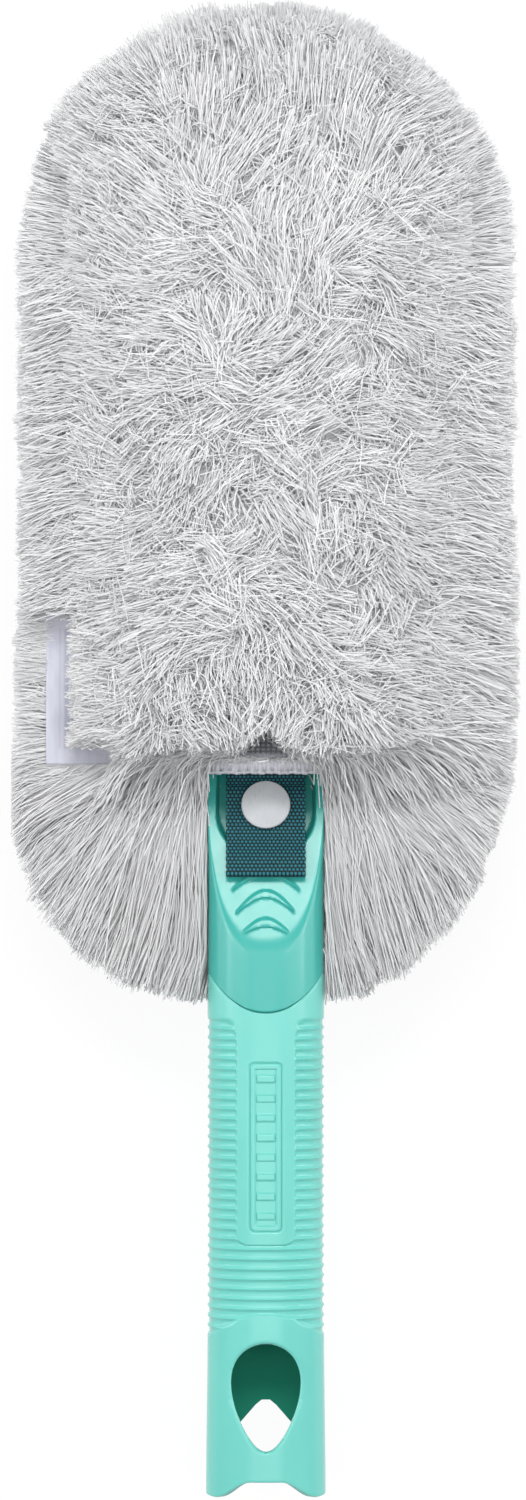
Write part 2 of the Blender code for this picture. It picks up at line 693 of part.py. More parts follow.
def make_socket(shop, frame, parent):
    foot = -SOCKET_HEIGHT
    bore_top = -SOCKET_WEB
    hole = SHANK_RADIUS + CLEARANCE
    profile = [(hole, bore_top), (SOCKET_BORE_RADIUS, bore_top), (SOCKET_BORE_RADIUS, foot),
               (SOCKET_RADIUS, foot), (SOCKET_RADIUS, 0.0), (hole, 0.0)]
    shop.piece("snap_socket", turned_ring(profile, frame), "snap_white", parent=parent)


def turned_ring(profile, frame, faces=FACES_ROUND):
    """A closed profile that keeps clear of the axis, turned into a ring."""
    count = len(profile)
    points = []
    for step in range(faces):
        turn = 2 * math.pi * step / faces
        points += [frame @ Vector((r * math.cos(turn), r * math.sin(turn), h)) for r, h in profile]
    quads = []
    for step in range(faces):
        here = step * count
        there = ((step + 1) % faces) * count
        for index in range(count):
            after = (index + 1) % count
            quads.append((here + index, here + after, there + after, there + index))
    return mesh_of(points, quads)


def strap_over():
    return CLEARANCE + 2 * STRAP_LAYER


def make_cap(shop, frame, parent):
    under = strap_over() + CLEARANCE
    edge = under + CAP_THICKNESS - CAP_DOME
    profile = [(SHANK_RADIUS, -SOCKET_WEB + CLEARANCE), (SHANK_RADIUS, under),
               (CAP_RADIUS - CAP_DOME / 2, under), (CAP_RADIUS, under + CAP_DOME / 2),
               (CAP_RADIUS, edge)]
    steps = 4
    for step in range(1, steps + 1):
        angle = math.pi / 2 * step / (steps + 1)
        profile.append((CAP_RADIUS * math.cos(angle), edge + CAP_DOME * math.sin(angle)))
    shop.piece("snap_cap", turned(profile, frame), "snap_white", parent=parent)


def strap_profile():
    """Side view of the tab: distance from the hinge towards the grip, and height off the ramp."""
    hinge_height = (ramp_frame().inverted() @ Vector((0.0, STRAP_HINGE_Y, -STRAP_HINGE_DROP))).z
    length = along_ramp(STRAP_HINGE_Y) - along_ramp(STRAP_END_Y)
    half = STRAP_LAYER / 2
    end_high = STRAP_STAND_OFF + 2 * STRAP_LAYER + STRAP_BUCKLE
    fold = (end_high - STRAP_STAND_OFF) / 2
    over = [(STRAP_SINGLE_END, hinge_height + half), (STRAP_DOUBLE_START, strap_over())]
    over += [(share * length, blend(strap_over(), end_high, rise))
             for share, rise in STRAP_OVER_RISE]
    folded = []
    for step in range(FOLD_STEPS + 1):
        angle = math.pi / 2 - math.pi * step / FOLD_STEPS
        folded.append((length - fold + fold * math.cos(angle),
                       STRAP_STAND_OFF + fold + fold * math.sin(angle)))
    under = [(share * length, blend(CLEARANCE, STRAP_STAND_OFF, rise))
             for share, rise in STRAP_UNDER_RISE]
    under.append((STRAP_DOUBLE_START, CLEARANCE))
    start = []
    for step in range(FOLD_STEPS + 1):
        angle = -math.pi / 2 - math.pi * step / FOLD_STEPS
        start.append((half * math.cos(angle), hinge_height + half * math.sin(angle)))
    return over + folded + under + start


def make_strap_tab(shop, frame, parent):
    hinge = along_ramp(STRAP_HINGE_Y)
    rings = [[frame @ Vector((x, hinge - distance, height)) for distance, height in
              strap_profile()] for x in (-STRAP_WIDTH / 2, STRAP_WIDTH / 2)]
    tab = shop.piece("strap_tab", loft(rings), "webbing", parent=parent)
    hole = SHANK_RADIUS + CLEARANCE
    shop.cut(tab, turned([(hole, -OVERRUN), (hole, 2 * OVERRUN)], snap_frame(frame), FACES_BORE))


def make_strap(shop):
    """The fixed end under the hem, and the tab on its hinge line with the snap's upper half."""
    frame = ramp_frame()
    start = STRAP_HINGE_Y + STRAP_LAYER / 2 + CLEARANCE
    root = rounded_outline(STRAP_WIDTH / 2, start, start + STRAP_ROOT_LENGTH,
                           CLEARANCE, CLEARANCE, steps=1)
    shop.piece("strap_root", prism(root, STRAP_UNDER, STRAP_UNDER + STRAP_LAYER), "webbing")
    hinge = bpy.data.objects.new("strap_hinge", None)
    hinge.location = (0.0, STRAP_HINGE_Y, -STRAP_HINGE_DROP)
    hinge.parent = shop.base
    bpy.context.scene.collection.objects.link(hinge)
    local = Matrix.Translation((0.0, -STRAP_HINGE_Y, STRAP_HINGE_DROP)) @ frame
    make_strap_tab(shop, local, hinge)
    make_socket(shop, snap_frame(local), hinge)
    make_cap(shop, snap_frame(local), hinge)


def make_paddle(shop):
    half_thick = PADDLE_THICKNESS / 2
    outline = rounded_outline(PADDLE_WIDTH / 2, PADDLE_FOOT, PADDLE_TOP, PADDLE_FOOT_CORNER,
                              PADDLE_CORNER)
    paddle = shop.piece("paddle", prism(outline, HEAD_MIDDLE - half_thick,
                                        HEAD_MIDDLE + half_thick), "core")
    tang_start = BLADE_END - TANG_LENGTH
    tang = rounded_outline(TANG_WIDTH / 2, tang_start, PADDLE_FOOT + OVERRUN,
                           TANG_THICKNESS, CLEARANCE, steps=3)
    shop.cut(paddle, prism(tang, HEAD_MIDDLE - TANG_THICKNESS / 2,
                           HEAD_MIDDLE + TANG_THICKNESS / 2), "UNION")
    slots = []
    run = PADDLE_TOP - PADDLE_SLOT_END_MARGIN - PADDLE_SLOT_START
    pitch = run / (PADDLE_SLOT_COUNT - 1 + PADDLE_SLOT_SHARE)
    height = pitch * PADDLE_SLOT_SHARE
    for row in range(PADDLE_SLOT_COUNT):
        foot = PADDLE_SLOT_START + row * pitch
        reach = paddle_half_width(foot + height) - PADDLE_RAIL
        width = reach - PADDLE_SPINE / 2
        slot = rounded_outline(width / 2, foot, foot + height, height / 3, height / 3, steps=2)
        for side in (-1, 1):
            centre = side * (PADDLE_SPINE / 2 + width / 2)
            slots.append(prism([(x + centre, y) for x, y in slot],
                               HEAD_MIDDLE - PADDLE_THICKNESS, HEAD_MIDDLE + PADDLE_THICKNESS))
    shop.cut(paddle, joined(slots))


def paddle_half_width(y):
    """Half width of the paddle where its top corners round in."""
    over = max(y - (PADDLE_TOP - PADDLE_CORNER), 0.0)
    return PADDLE_WIDTH / 2 - PADDLE_CORNER + math.sqrt(max(PADDLE_CORNER ** 2 - over ** 2, 0.0))


def make_sleeve(shop):
    half = PANEL_WIDTH / 2
    front = rounded_outline(half, FRONT_PANEL_FOOT + CLEARANCE, PANEL_TOP, CLEARANCE,
                            PANEL_CORNER)
    shop.piece("front_panel", prism(front, FRONT_PANEL_UNDER, FRONT_PANEL_OVER), "knit")
    rear = rounded_outline(half, REAR_PANEL_FOOT, PANEL_TOP, PANEL_FOOT_CORNER, PANEL_CORNER)
    shop.piece("rear_panel", prism(rear, REAR_PANEL_UNDER, REAR_PANEL_OVER), "knit")
    shop.piece("side_seam", seam_tape(), "hem")
    shop.piece("front_hem", front_hem(), "hem")
    rear_hem = rounded_outline(half - PANEL_FOOT_CORNER, REAR_PANEL_FOOT,
                               REAR_PANEL_FOOT + REAR_HEM_HEIGHT, CLEARANCE, CLEARANCE, steps=1)
    low = REAR_PANEL_UNDER - CLEARANCE - HEM_THICKNESS
    shop.piece("rear_hem", prism(rear_hem, low, low + HEM_THICKNESS), "hem")
    label = rounded_outline(LABEL_REACH / 2, LABEL_FOOT, LABEL_FOOT + LABEL_LENGTH,
                            LABEL_THICKNESS, LABEL_THICKNESS, steps=1)
    centre = -half - CLEARANCE - LABEL_REACH / 2
    shop.piece("label", prism([(x + centre, y) for x, y in label], LABEL_LIFT,
                              LABEL_LIFT + LABEL_THICKNESS), "satin")


def seam_tape():
    """A band on edge between the two panels, from the mouth up round the top and down again."""
    half = PANEL_WIDTH / 2
    def path(inset):
        corner = PANEL_CORNER - inset
        side = half - inset
        right = arc(side - corner, PANEL_TOP - PANEL_CORNER, corner, 0, 90, 10)
        left = arc(-side + corner, PANEL_TOP - PANEL_CORNER, corner, 90, 180, 10)
        return [(side, SEAM_TAPE_FOOT)] + right + left + [(-side, SEAM_TAPE_FOOT)]
    outline = path(CLEARANCE) + list(reversed(path(CLEARANCE + SEAM_TAPE_WIDTH)))
    return prism(outline, REAR_PANEL_OVER + CLEARANCE, FRONT_PANEL_UNDER - CLEARANCE)


def front_hem():
    """An overlocked edge: it wraps the panel's lower edge and lies on its front."""
    top = HEM_FOOT + HEM_HEIGHT
    over = FRONT_PANEL_OVER + CLEARANCE
    wrap = FRONT_PANEL_FOOT
    side = [(HEM_FOOT, FRONT_PANEL_UNDER), (wrap, FRONT_PANEL_UNDER), (wrap, over), (top, over),
            (top, over + HEM_THICKNESS), (HEM_FOOT, over + HEM_THICKNESS)]
    half = PANEL_WIDTH / 2
    return loft([[Vector((x, y, z)) for y, z in side] for x in (-half, half)])


class PileSide:
    """One side's pile: a low ground of fabric and a tuft on each of its cells. A station along the
    head is a place on its straight part and a bend, which runs round the foot or the end."""

    def __init__(self, side, ground, rim, foot, reach, shed, top, width, height, length_share):
        self.side = side
        self.ground = ground
        self.rim = rim
        self.foot_length = PILE_STRAIGHT_START - foot
        self.foot_reach = shed - reach
        self.shed = shed
        self.end_reach = (top + PILE_TRIM - PILE_STRAIGHT_END) / math.sin(END_TURN)
        self.half_width = width / 2 + PILE_TRIM
        self.height = height
        self.length_share = length_share
        self.random = random.Random(41 + side)

    def ground_point(self, turn, station):
        """A point of the fabric's outer face: turn is 0 in the middle, 90 degrees at the rim."""
        y, bend = station
        length = self.foot_length if bend < 0 else PANEL_TOP - PILE_STRAIGHT_END
        half = PANEL_WIDTH / 2 * math.cos(bend)
        lift = PILE_LIP + PILE_RISE * math.cos(turn) * math.cos(bend)
        return Vector((half * math.sin(turn), y + length * math.sin(bend),
                       self.ground + self.side * lift))

    def tip_point(self, turn, station):
        """A point of the outline that the pile is trimmed to."""
        y, bend = station
        start_share = (PILE_STRAIGHT_END - y) / (PILE_STRAIGHT_END - PILE_STRAIGHT_START)
        tip_y = blend(PILE_STRAIGHT_END, self.shed, start_share)
        if bend < 0:
            tip_y -= self.foot_reach * math.sin(-bend) ** (2 / FOOT_POWER)
            half = self.half_width * math.cos(bend) ** (2 / FOOT_POWER)
        else:
            tip_y += self.end_reach * math.sin(bend)
            half = self.half_width * math.cos(bend) ** (2 / OUTLINE_POWER)
        level = abs(math.cos(turn)) if self.side > 0 else flattened(turn)
        height = self.height * level * math.sqrt(math.cos(bend))
        return Vector((half * math.sin(turn), tip_y, self.rim + self.side * height))


def stations(foot_count, straight_counts):
    """Row edges in groups, one group to a slice: the foot goes with the first straight rows."""
    straight = sum(straight_counts)
    edges = [(PILE_STRAIGHT_START, -END_TURN * (foot_count - row) / foot_count)
             for row in range(foot_count)]
    edges += [(blend(PILE_STRAIGHT_START, PILE_STRAIGHT_END, row / straight), 0.0)
              for row in range(straight + 1)]
    edges += [(PILE_STRAIGHT_END, END_TURN * (row + 1) / END_COUNT) for row in range(END_COUNT)]
    groups = []
    start = 0
    for rows in (foot_count + straight_counts[0],) + straight_counts[1:] + (END_COUNT,):
        groups.append(edges[start:start + rows + 1])
        start += rows
    return groups


def flattened(turn):
    """Height share of the rear pile: nearly level over the middle, where it bears."""
    return math.sqrt(max(1 - abs(math.sin(turn)) ** FLATTEN_POWER, 0.0))


def trimmed(point):
    """The pile is trimmed to the head's length, width and resting plane."""
    half = HEAD_WIDTH / 2
    return Vector((min(max(point.x, -half), half), min(point.y, OVERALL_LENGTH),
                   max(point.z, -REST_HEIGHT)))


def pile_slice(pile, edges):
    """A slab of ground fabric with a tuft drawn out of every cell of its outer face."""
    turns = [blend(-math.pi / 2, math.pi / 2, column / PILE_COLUMN_COUNT)
             for column in range(PILE_COLUMN_COUNT + 1)]
    form = bmesh.new()
    outer = []
    inner = []
    last = len(edges) - 1
    for row, station in enumerate(edges):
        shift = CLEARANCE / 2 if row == 0 else -CLEARANCE / 2 if row == last else 0.0
        points = [pile.ground_point(turn, station) + Vector((0.0, shift, 0.0)) for turn in turns]
        outer.append([form.verts.new(point) for point in points])
        inner.append([form.verts.new((point.x, point.y, pile.ground)) for point in points])
    cells = []
    for row in range(last):
        for column in range(PILE_COLUMN_COUNT):
            cell = form.faces.new((outer[row][column], outer[row][column + 1],
                                   outer[row + 1][column + 1], outer[row + 1][column]))
            tips = [pile.tip_point(turns[column + across], edges[row + along])
                    for across, along in ((0, 0), (1, 0), (1, 1), (0, 1))]
            cells.append((cell, tips))
            form.faces.new((inner[row][column], inner[row + 1][column],
                            inner[row + 1][column + 1], inner[row][column + 1]))
        for column in (0, PILE_COLUMN_COUNT):
            form.faces.new((outer[row][column], outer[row + 1][column],
                            inner[row + 1][column], inner[row][column]))
    for row in (0, last):
        for column in range(PILE_COLUMN_COUNT):
            form.faces.new((outer[row][column], outer[row][column + 1],
                            inner[row][column + 1], inner[row][column]))
    for cell, tips in cells:
        draw_tuft(form, cell, tips, pile)
    bmesh.ops.recalc_face_normals(form, faces=form.faces)
    mesh = bpy.data.meshes.new("pile")
    form.to_mesh(mesh)
    form.free()
    return mesh


def draw_tuft(form, cell, tips, pile):
    """Pulls one cell out to its share of the outline, a little to one side, and trims it."""
    root = sum((vert.co for vert in cell.verts), Vector()) / len(tips)
    centre = sum(tips, Vector()) / len(tips)
    across = (tips[1] - tips[0] + tips[2] - tips[3]) / 2
    along = (tips[3] - tips[0] + tips[2] - tips[1]) / 2
    shift = (across * pile.random.uniform(-TIP_SHIFT_SHARE, TIP_SHIFT_SHARE)
             + along * pile.random.uniform(-TIP_SHIFT_SHARE, TIP_SHIFT_SHARE))
    length_share = 1 - pile.length_share * pile.random.random()
    drawn = bmesh.ops.extrude_discrete_faces(form, faces=[cell])["faces"][0]
    for vert, tip in zip(drawn.verts, tips):
        end = centre + shift + (tip - centre) * TIP_SHARE
        vert.co = trimmed(root + (end - root) * length_share)


def make_pile(shop, name, pile, groups):
    for number, edges in enumerate(groups):
        shop.piece(name + "_" + str(number + 1), pile_slice(pile, edges), "pile",
                   smooth_angle=math.radians(20))


def make_both_piles(shop):
    front_ground = FRONT_PANEL_OVER + 2 * CLEARANCE
    front = PileSide(1, front_ground, front_ground + PILE_LIP, FRONT_PILE_FOOT,
                     FRONT_PILE_REACH, FRONT_PILE_REACH + FRONT_SHED, FRONT_PILE_TOP,
                     FRONT_PILE_WIDTH, FRONT_PILE_HEIGHT, FRONT_LENGTH_SHARE)
    make_pile(shop, "front_pile", front, stations(FRONT_FOOT_COUNT, FRONT_STRAIGHT_COUNTS))
    rear_ground = REAR_PANEL_UNDER - 2 * CLEARANCE - HEM_THICKNESS
    rear_rim = REAR_PANEL_UNDER
    rear = PileSide(-1, rear_ground, rear_rim, REAR_PILE_FOOT, REAR_PILE_REACH,
                    PILE_STRAIGHT_START, OVERALL_LENGTH, HEAD_WIDTH,
                    REST_HEIGHT + rear_rim + PILE_TRIM, REAR_LENGTH_SHARE)
    make_pile(shop, "rear_pile", rear, stations(REAR_FOOT_COUNT, REAR_STRAIGHT_COUNTS))


def main():
    clear_scene()
    shop = Workshop()
    make_grip(shop)
    make_neck(shop)
    make_stud(shop, snap_frame(ramp_frame()))
    make_strap(shop)
    make_paddle(shop)
    make_sleeve(shop)
    make_both_piles(shop)


main()
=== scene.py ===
import math

import bpy
import numpy as np
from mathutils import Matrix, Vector


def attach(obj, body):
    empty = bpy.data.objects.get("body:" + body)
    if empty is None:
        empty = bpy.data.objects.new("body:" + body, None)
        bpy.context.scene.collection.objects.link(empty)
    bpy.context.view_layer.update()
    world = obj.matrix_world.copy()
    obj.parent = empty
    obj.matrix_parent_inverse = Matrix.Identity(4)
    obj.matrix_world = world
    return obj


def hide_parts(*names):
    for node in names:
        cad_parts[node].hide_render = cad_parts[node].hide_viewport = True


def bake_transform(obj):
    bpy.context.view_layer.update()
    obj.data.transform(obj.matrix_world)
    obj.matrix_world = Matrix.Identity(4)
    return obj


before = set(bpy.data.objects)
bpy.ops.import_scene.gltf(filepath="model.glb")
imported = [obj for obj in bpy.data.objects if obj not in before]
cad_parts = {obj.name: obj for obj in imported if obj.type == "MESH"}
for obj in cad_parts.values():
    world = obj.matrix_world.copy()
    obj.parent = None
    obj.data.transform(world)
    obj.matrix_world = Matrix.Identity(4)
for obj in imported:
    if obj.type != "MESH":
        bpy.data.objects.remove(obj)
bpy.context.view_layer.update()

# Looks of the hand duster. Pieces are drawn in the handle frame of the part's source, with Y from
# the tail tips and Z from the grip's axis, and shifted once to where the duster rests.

# Whole duster
OVERALL_LENGTH = 0.4745
HEAD_WIDTH = 0.162
REST_HEIGHT = 0.046
CLEARANCE = 0.0003
SHIFT = np.array([0.0, -OVERALL_LENGTH / 2, REST_HEIGHT])
UP = np.array([0.0, 0.0, 1.0])

# Grip
GRIP_WIDTH = 0.0371
GRIP_DEPTH = 0.028
GRIP_WALL = 0.0024
SECTION_POWER = 2.4
GRIP_EVEN_HALF = 0.0102      # half of the front, where its columns are even in width
GRIP_COLUMN = 0.00034
TAIL_WIDTH = 0.0381
TAIL_FRONT_DIP = 0.0054
TAIL_DIP_FLAT_SHARE = 0.26
TAIL_DIP_FADE_SHARE = 0.88
TAIL_NOTCH_RISE = 0.028
TAIL_NOTCH_FLAT = 0.0021
TAIL_NOTCH_TURN_SHARE = 0.45
TAIL_ROUND = 0.0006
TAIL_ROWS = 92
RIBS_START = 0.0506
RIBS_ARCH_RISE = 0.0076
RIB_PITCH = 0.00315
RIB_DEPTH = 0.00055
RIB_COUNT = 32
RIB_CREST_SHARE = 0.17       # half width of a rib's crest, of the pitch
RIB_SAMPLES = 10
RIBS_END = RIBS_START + RIB_COUNT * RIB_PITCH
SEAM_DIP_Y = 0.1534
SEAM_RISE = 0.0126
SEAM_POWER = 2.16
SEAM_ROUND = 0.00025
SPIGOT_FOOT = SEAM_DIP_Y - 0.033
BULKHEAD_Y = 0.060
BULKHEAD_THICKNESS = 0.0024

# Tongue and cartouche
TONGUE_WIDTH = 0.0184
TONGUE_START = 0.0805
TONGUE_CORNER = 0.003
TONGUE_FLARE_START = 0.1437
TONGUE_FLARE_RADIUS = 0.0125
TONGUE_SOFT = 0.0005
CARTOUCHE_WIDTH = 0.0107
CARTOUCHE_START = 0.0843
CARTOUCHE_END = 0.1378
CARTOUCHE_CORNER = 0.0017
CARTOUCHE_GROOVE = 0.0005
CARTOUCHE_INSET = CARTOUCHE_GROOVE + 0.0015
CARTOUCHE_DEPTH = 0.0005
CARTOUCHE_SOFT = 0.00035
CARTOUCHE_BARS = 8
CARTOUCHE_BAR_WIDTH = 0.0022

# Hang hole
HOLE_WIDTH = 0.0220
HOLE_START = 0.0150
HOLE_END = 0.0491
HOLE_EGG_SHARE = 0.32
HOLE_ROUND = 0.0010
HOLE_STEPS = 120

# Neck
RAMP_START = 0.174
RAMP_ANGLE = math.radians(15.5)
REAR_TAPER_START = 0.165
REAR_TAPER_END = 0.205
BLADE_START = 0.2290
BLADE_END = 0.262
BLADE_TIP_WIDTH = 0.030
BLADE_UNDER = 0.0067
BLADE_TOP = -BLADE_UNDER + 0.0054
RAMP_ROUND = 0.0010
POCKET_WIDTH = 0.0318
POCKET_DEPTH = 0.0040
POCKET_ROUND_Y = 0.216
POCKET_ROUND = 0.0145
POCKET_TOP_Y = 0.2315
POCKET_SOFT = 0.0011
CRESCENT_HEIGHT = 0.0009
CRESCENT_SOFT = 0.00045
CRESCENT_TIPS = (0.1924, 0.1856, 0.1794)
CRESCENT_CROWNS = (0.1992, 0.1922, 0.1835)
CRESCENT_HALF_WIDTHS = (0.0107, 0.0092, 0.0070)
CRESCENT_THICKNESS = (0.0026, 0.0029, 0.0033)
NECK_EVEN_HALF = 0.0170
NECK_COLUMN = 0.00040
NECK_ROW = 0.00045
NECK_FINE_END = 0.236

# Press stud
SNAP_Y = 0.2180
CAP_RADIUS = 0.00775
CAP_THICKNESS = 0.0016
CAP_DOME = 0.0007
CAP_EDGE = 0.00035
SHANK_RADIUS = 0.0012
SOCKET_WEB = 0.0006

# Strap
STRAP_WIDTH = 0.025
STRAP_LAYER = 0.0012
STRAP_OVER = CLEARANCE + 2 * STRAP_LAYER
STRAP_END_Y = 0.1953
STRAP_HINGE_Y = 0.2280
STRAP_HINGE_OUT = 0.00055
STRAP_ENTRY = (0.0040, 0.0009)       # a point on its way in under the hem, from the hinge line
STRAP_STAND_OFF = 0.0018
STRAP_BUCKLE = 0.0005
STRAP_ROOT_LENGTH = 0.011
STRAP_STEP = 0.00026
SELVAGE = 0.0008
SELVAGE_WAVE = 0.00016
WEAVE_ACROSS = 20
WEAVE_PITCH = 0.00118
WEAVE_RELIEF = 0.00046

# Sleeve
PANEL_WIDTH = 0.088
PANEL_THICKNESS = 0.0010
PANEL_TOP = 0.437
PANEL_FOOT = 0.2292
PANEL_CORNER = 0.040
REAR_CORNER = 0.010
HEM_FOOT = 0.2286
HEM_HEIGHT = 0.0067
HEM_TOP = HEM_FOOT + HEM_HEIGHT
HEM_THICKNESS = 0.0008
HEM_STITCH = 0.00125
HEM_SLANT = 0.00035
HEM_WOBBLE = 0.00012
HEM_WOBBLE_FINE = 0.00010
REAR_HEM_HEIGHT = 0.006
REAR_HEM_SETBACK = 0.010
SEAM_TAPE_HALF = 0.0008
SEAM_SETBACK = 0.0011
SEAM_FOOT = 0.236
SEAM_MOST_HEIGHT = 0.008
STRAP_UNDER = BLADE_TOP + CLEARANCE
FRONT_PANEL_UNDER = STRAP_UNDER + STRAP_LAYER + CLEARANCE
FRONT_PANEL_OVER = FRONT_PANEL_UNDER + PANEL_THICKNESS
FRONT_HEM_OVER = FRONT_PANEL_OVER + CLEARANCE + HEM_THICKNESS
REAR_PANEL_OVER = -BLADE_UNDER - CLEARANCE
REAR_PANEL_UNDER = REAR_PANEL_OVER - PANEL_THICKNESS

# Label
LABEL_LENGTH = 0.048
LABEL_REACH = 0.0255
LABEL_FOOT = 0.2318
LABEL_THICKNESS = 0.0003
LABEL_LIFT = 0.0010
LABEL_CURL = 0.0010
LABEL_RIPPLE = 0.0005
LABEL_STAND_OFF = 0.0011
LABEL_OUTER_X = -PANEL_WIDTH / 2 - CLEARANCE - LABEL_REACH

# Pile's outline
PILE_LIP = 0.0012
PILE_RISE = 0.012
PILE_STRAIGHT_START = 0.240
PILE_STRAIGHT_END = 0.3945
FRONT_PILE_FOOT = 0.2360
FRONT_PILE_REACH = 0.2330
FRONT_PILE_HEIGHT = 0.0425
FRONT_PILE_WIDTH = 0.136
FRONT_PILE_TOP = 0.462
FRONT_SHED = 0.012
REAR_PILE_FOOT = 0.2295
REAR_PILE_REACH = 0.1575
OUTLINE_POWER = 2.2
FOOT_POWER = 2.8
FLATTEN_POWER = 3.6
LAST_BEND = math.radians(88.5)
FOOT_ARC_SHARE = 0.6
GIRTH_SHARE = 1.18
PARTING_Y = 0.335
PILE_TOP = 0.0485
SPREAD_BEND = math.radians(9)      # where the front pile starts to spread over the rear one's rim
SPREAD_TURN = math.radians(28)
SPREAD_START = 0.404
SPREAD_RUN = 0.030
REAR_OVER_SHARE = 1.045      # how far the rear locks at the foot are drawn past their solids

# Trim of the pile
FOOT_TIGHT_SHARE = 0.16
TRIM_PLACES = (0.228, 0.243, 0.270, 0.310, 0.365, 0.415, 0.430, 0.445, 0.460, 0.470)
TRIM_LEFT = (-0.0024, -0.0014, 0.0002, 0.0012, 0.0026, 0.0026, 0.0016, 0.0014, 0.0052, -0.0050)
TRIM_RIGHT = (-0.0012, 0.0010, 0.0002, 0.0024, 0.0018, 0.0004, 0.0004, 0.0050, 0.0110, 0.0080)
TRIM_CELLS = 24.0            # small tufts to a radian of the outline
TRIM_UNEVEN = 0.0036
TRIM_SPARE = 0.0020
TRIM_ROUND = 0.018           # how much narrower the trim is, at a depth of TRIM_DEPTH
TRIM_DEPTH = 0.040
FRONT_UNEVEN = 0.0055

# Places that the pile leaves free
LABEL_MARGIN = 0.001
LABEL_SHOWN = 0.0104
LABEL_FOOT_SHOWN = 0.0240
LABEL_FOOT_HEIGHT = 0.0085
STRAP_SHOWN_HALF = 0.0190
KNIT_SHOWN_HALF = 0.0100
KNIT_SHOWN_HEIGHT = 0.0070
SLACK = 0.0009
MOST_SLACK = 0.004
PANEL_MARGIN = 0.001
HEM_MARGIN = 0.0006
LABEL_ROOM = 0.003
LABEL_INNER_X = -0.042
REAR_TOP = 0.009
FRONT_FOOT_LEVEL = -0.009
FRONT_RIM_LEVEL = -0.004

# Undercoat
FRONT_COAT_SHARE = 0.71
REAR_COAT_SHARE = 0.70
COAT_LUMP_SHARE = 0.02
COAT_COLUMNS = 64
COAT_SKIN = 0.0008
COAT_FOOT_RUN = 0.030
COAT_FOOT_RISE = 0.011
COAT_TOP = ((0.64, -0.0086), (0.50, -0.0076), (0.32, -0.0062), (0.12, -0.0052), (0.03, -0.0080))

# Locks
LOCK_SPACING = 0.0066
FLOW_WAVES = (0.040, 0.095)
SWELL_WAVES = (0.012, 0.034)
FLOW_SWIRL = 0.6
FLOW_WIDTH = 0.045
FLOW_LENGTH = 0.075
FLOW_CALM = 0.6
WAVE_SHARE = 0.060           # sideways bends of a lock, of its length
FRONT_FEW = 16
FRONT_MANY = 44
REAR_FEW = 7
FRONT_CARPET = 15
REAR_CARPET = 4
CARPET_BACK = 0.006
CARPET_AHEAD = (0.005, 0.011)
CARPET_TURN = 0.004
APRON_COUNT = 1500
APRON_ROOT_LEVELS = (0.0088, 0.0020)
APRON_TIP_LEVELS = (0.0090, -0.0090)
OVERLAP_COUNT = 1700
OVERLAP_CROWD = 10
OVERLAP_END_SHARE = 0.62
OVERLAP_TURNS = (52, 86)
OVERLAP_RUN = (0.002, 0.017)
OVERLAP_LEVEL = 0.004
OVERLAP_ROOT_RISE = 0.006
OVERLAP_TIP_RISE = 0.0025
OVERLAP_BACK = 0.003
RIM_CROWD = 24
FRINGE_COUNT = 620
FRINGE_CROWD = 8
FRINGE_X = (0.0185, 0.0420)
FRINGE_ABOVE_HEM = (0.0005, 0.0130)
FRINGE_RUN = (0.020, 0.034)
FRINGE_TIP_RISE = 0.003
FRINGE_ROOT_RISE = 0.0075

# Strands
STRAND_RADIUS = 0.00020
STRAND_STEPS = 6
STRAND_SIDES = 3
PROBES = 25                  # places on a strand that are tried against the trim
ROOT_SPREAD = 0.0022
TIP_SPREAD = 0.0026
STRAND_CURL = 0.0021
FACING_SHARE = 0.70          # how far a strand shades by the way that the pile faces
BATCH = 3000                 # strands made at once
MOST_TRIANGLES = 195000      # in one piece

# Studio
CAMERA_DISTANCE = 1.4
CAMERA_ASIDE = -0.0009
VIEW_HEIGHT = 0.4725
SENSOR_WIDTH = 36.0
FLOOR_HALF = 3.0
WORLD_FILL = 0.34


def smooth_step(share):
    share = np.clip(share, 0.0, 1.0)
    return share * share * (3 - 2 * share)


def mix(low, high, share):
    return low + (high - low) * share


def unit(vectors):
    return vectors / np.maximum(np.linalg.norm(vectors, axis=-1, keepdims=True), 1e-9)


def length_of(vectors):
    return np.linalg.norm(vectors, axis=-1, keepdims=True)


# Making meshes

def new_object(name, data):
    thing = bpy.data.objects.new(name, data)
    bpy.context.scene.collection.objects.link(thing)
    return thing


def as_piece(mesh, material, slot, replaces, body="duster", sharp=None, **values):
    """A piece from a mesh, with named numbers, or sets of three numbers, on its points."""
    mesh.materials.append(material)
    for key, numbers in values.items():
        numbers = np.asarray(numbers, np.float32)
        kind, field = "FLOAT", "value"
        if numbers.shape == (len(mesh.vertices), 3):
            kind, field = "FLOAT_VECTOR", "vector"
        mesh.attributes.new(key, kind, "POINT").data.foreach_set(field, numbers.ravel())
    if sharp:
        mesh.set_sharp_from_angle(angle=math.radians(sharp))
    piece = new_object(mesh.name, mesh)
    if body:
        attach(piece, body)
    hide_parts(*replaces)
    return piece


def mesh_piece(name, points, faces, *looks, **values):
    """A piece from arrays of points and of faces."""
    mesh = bpy.data.meshes.new(name)
    mesh.from_pydata((points + SHIFT).tolist(), [], faces)
    mesh.validate()
    mesh.shade_smooth()
    return as_piece(mesh, *looks, **values)


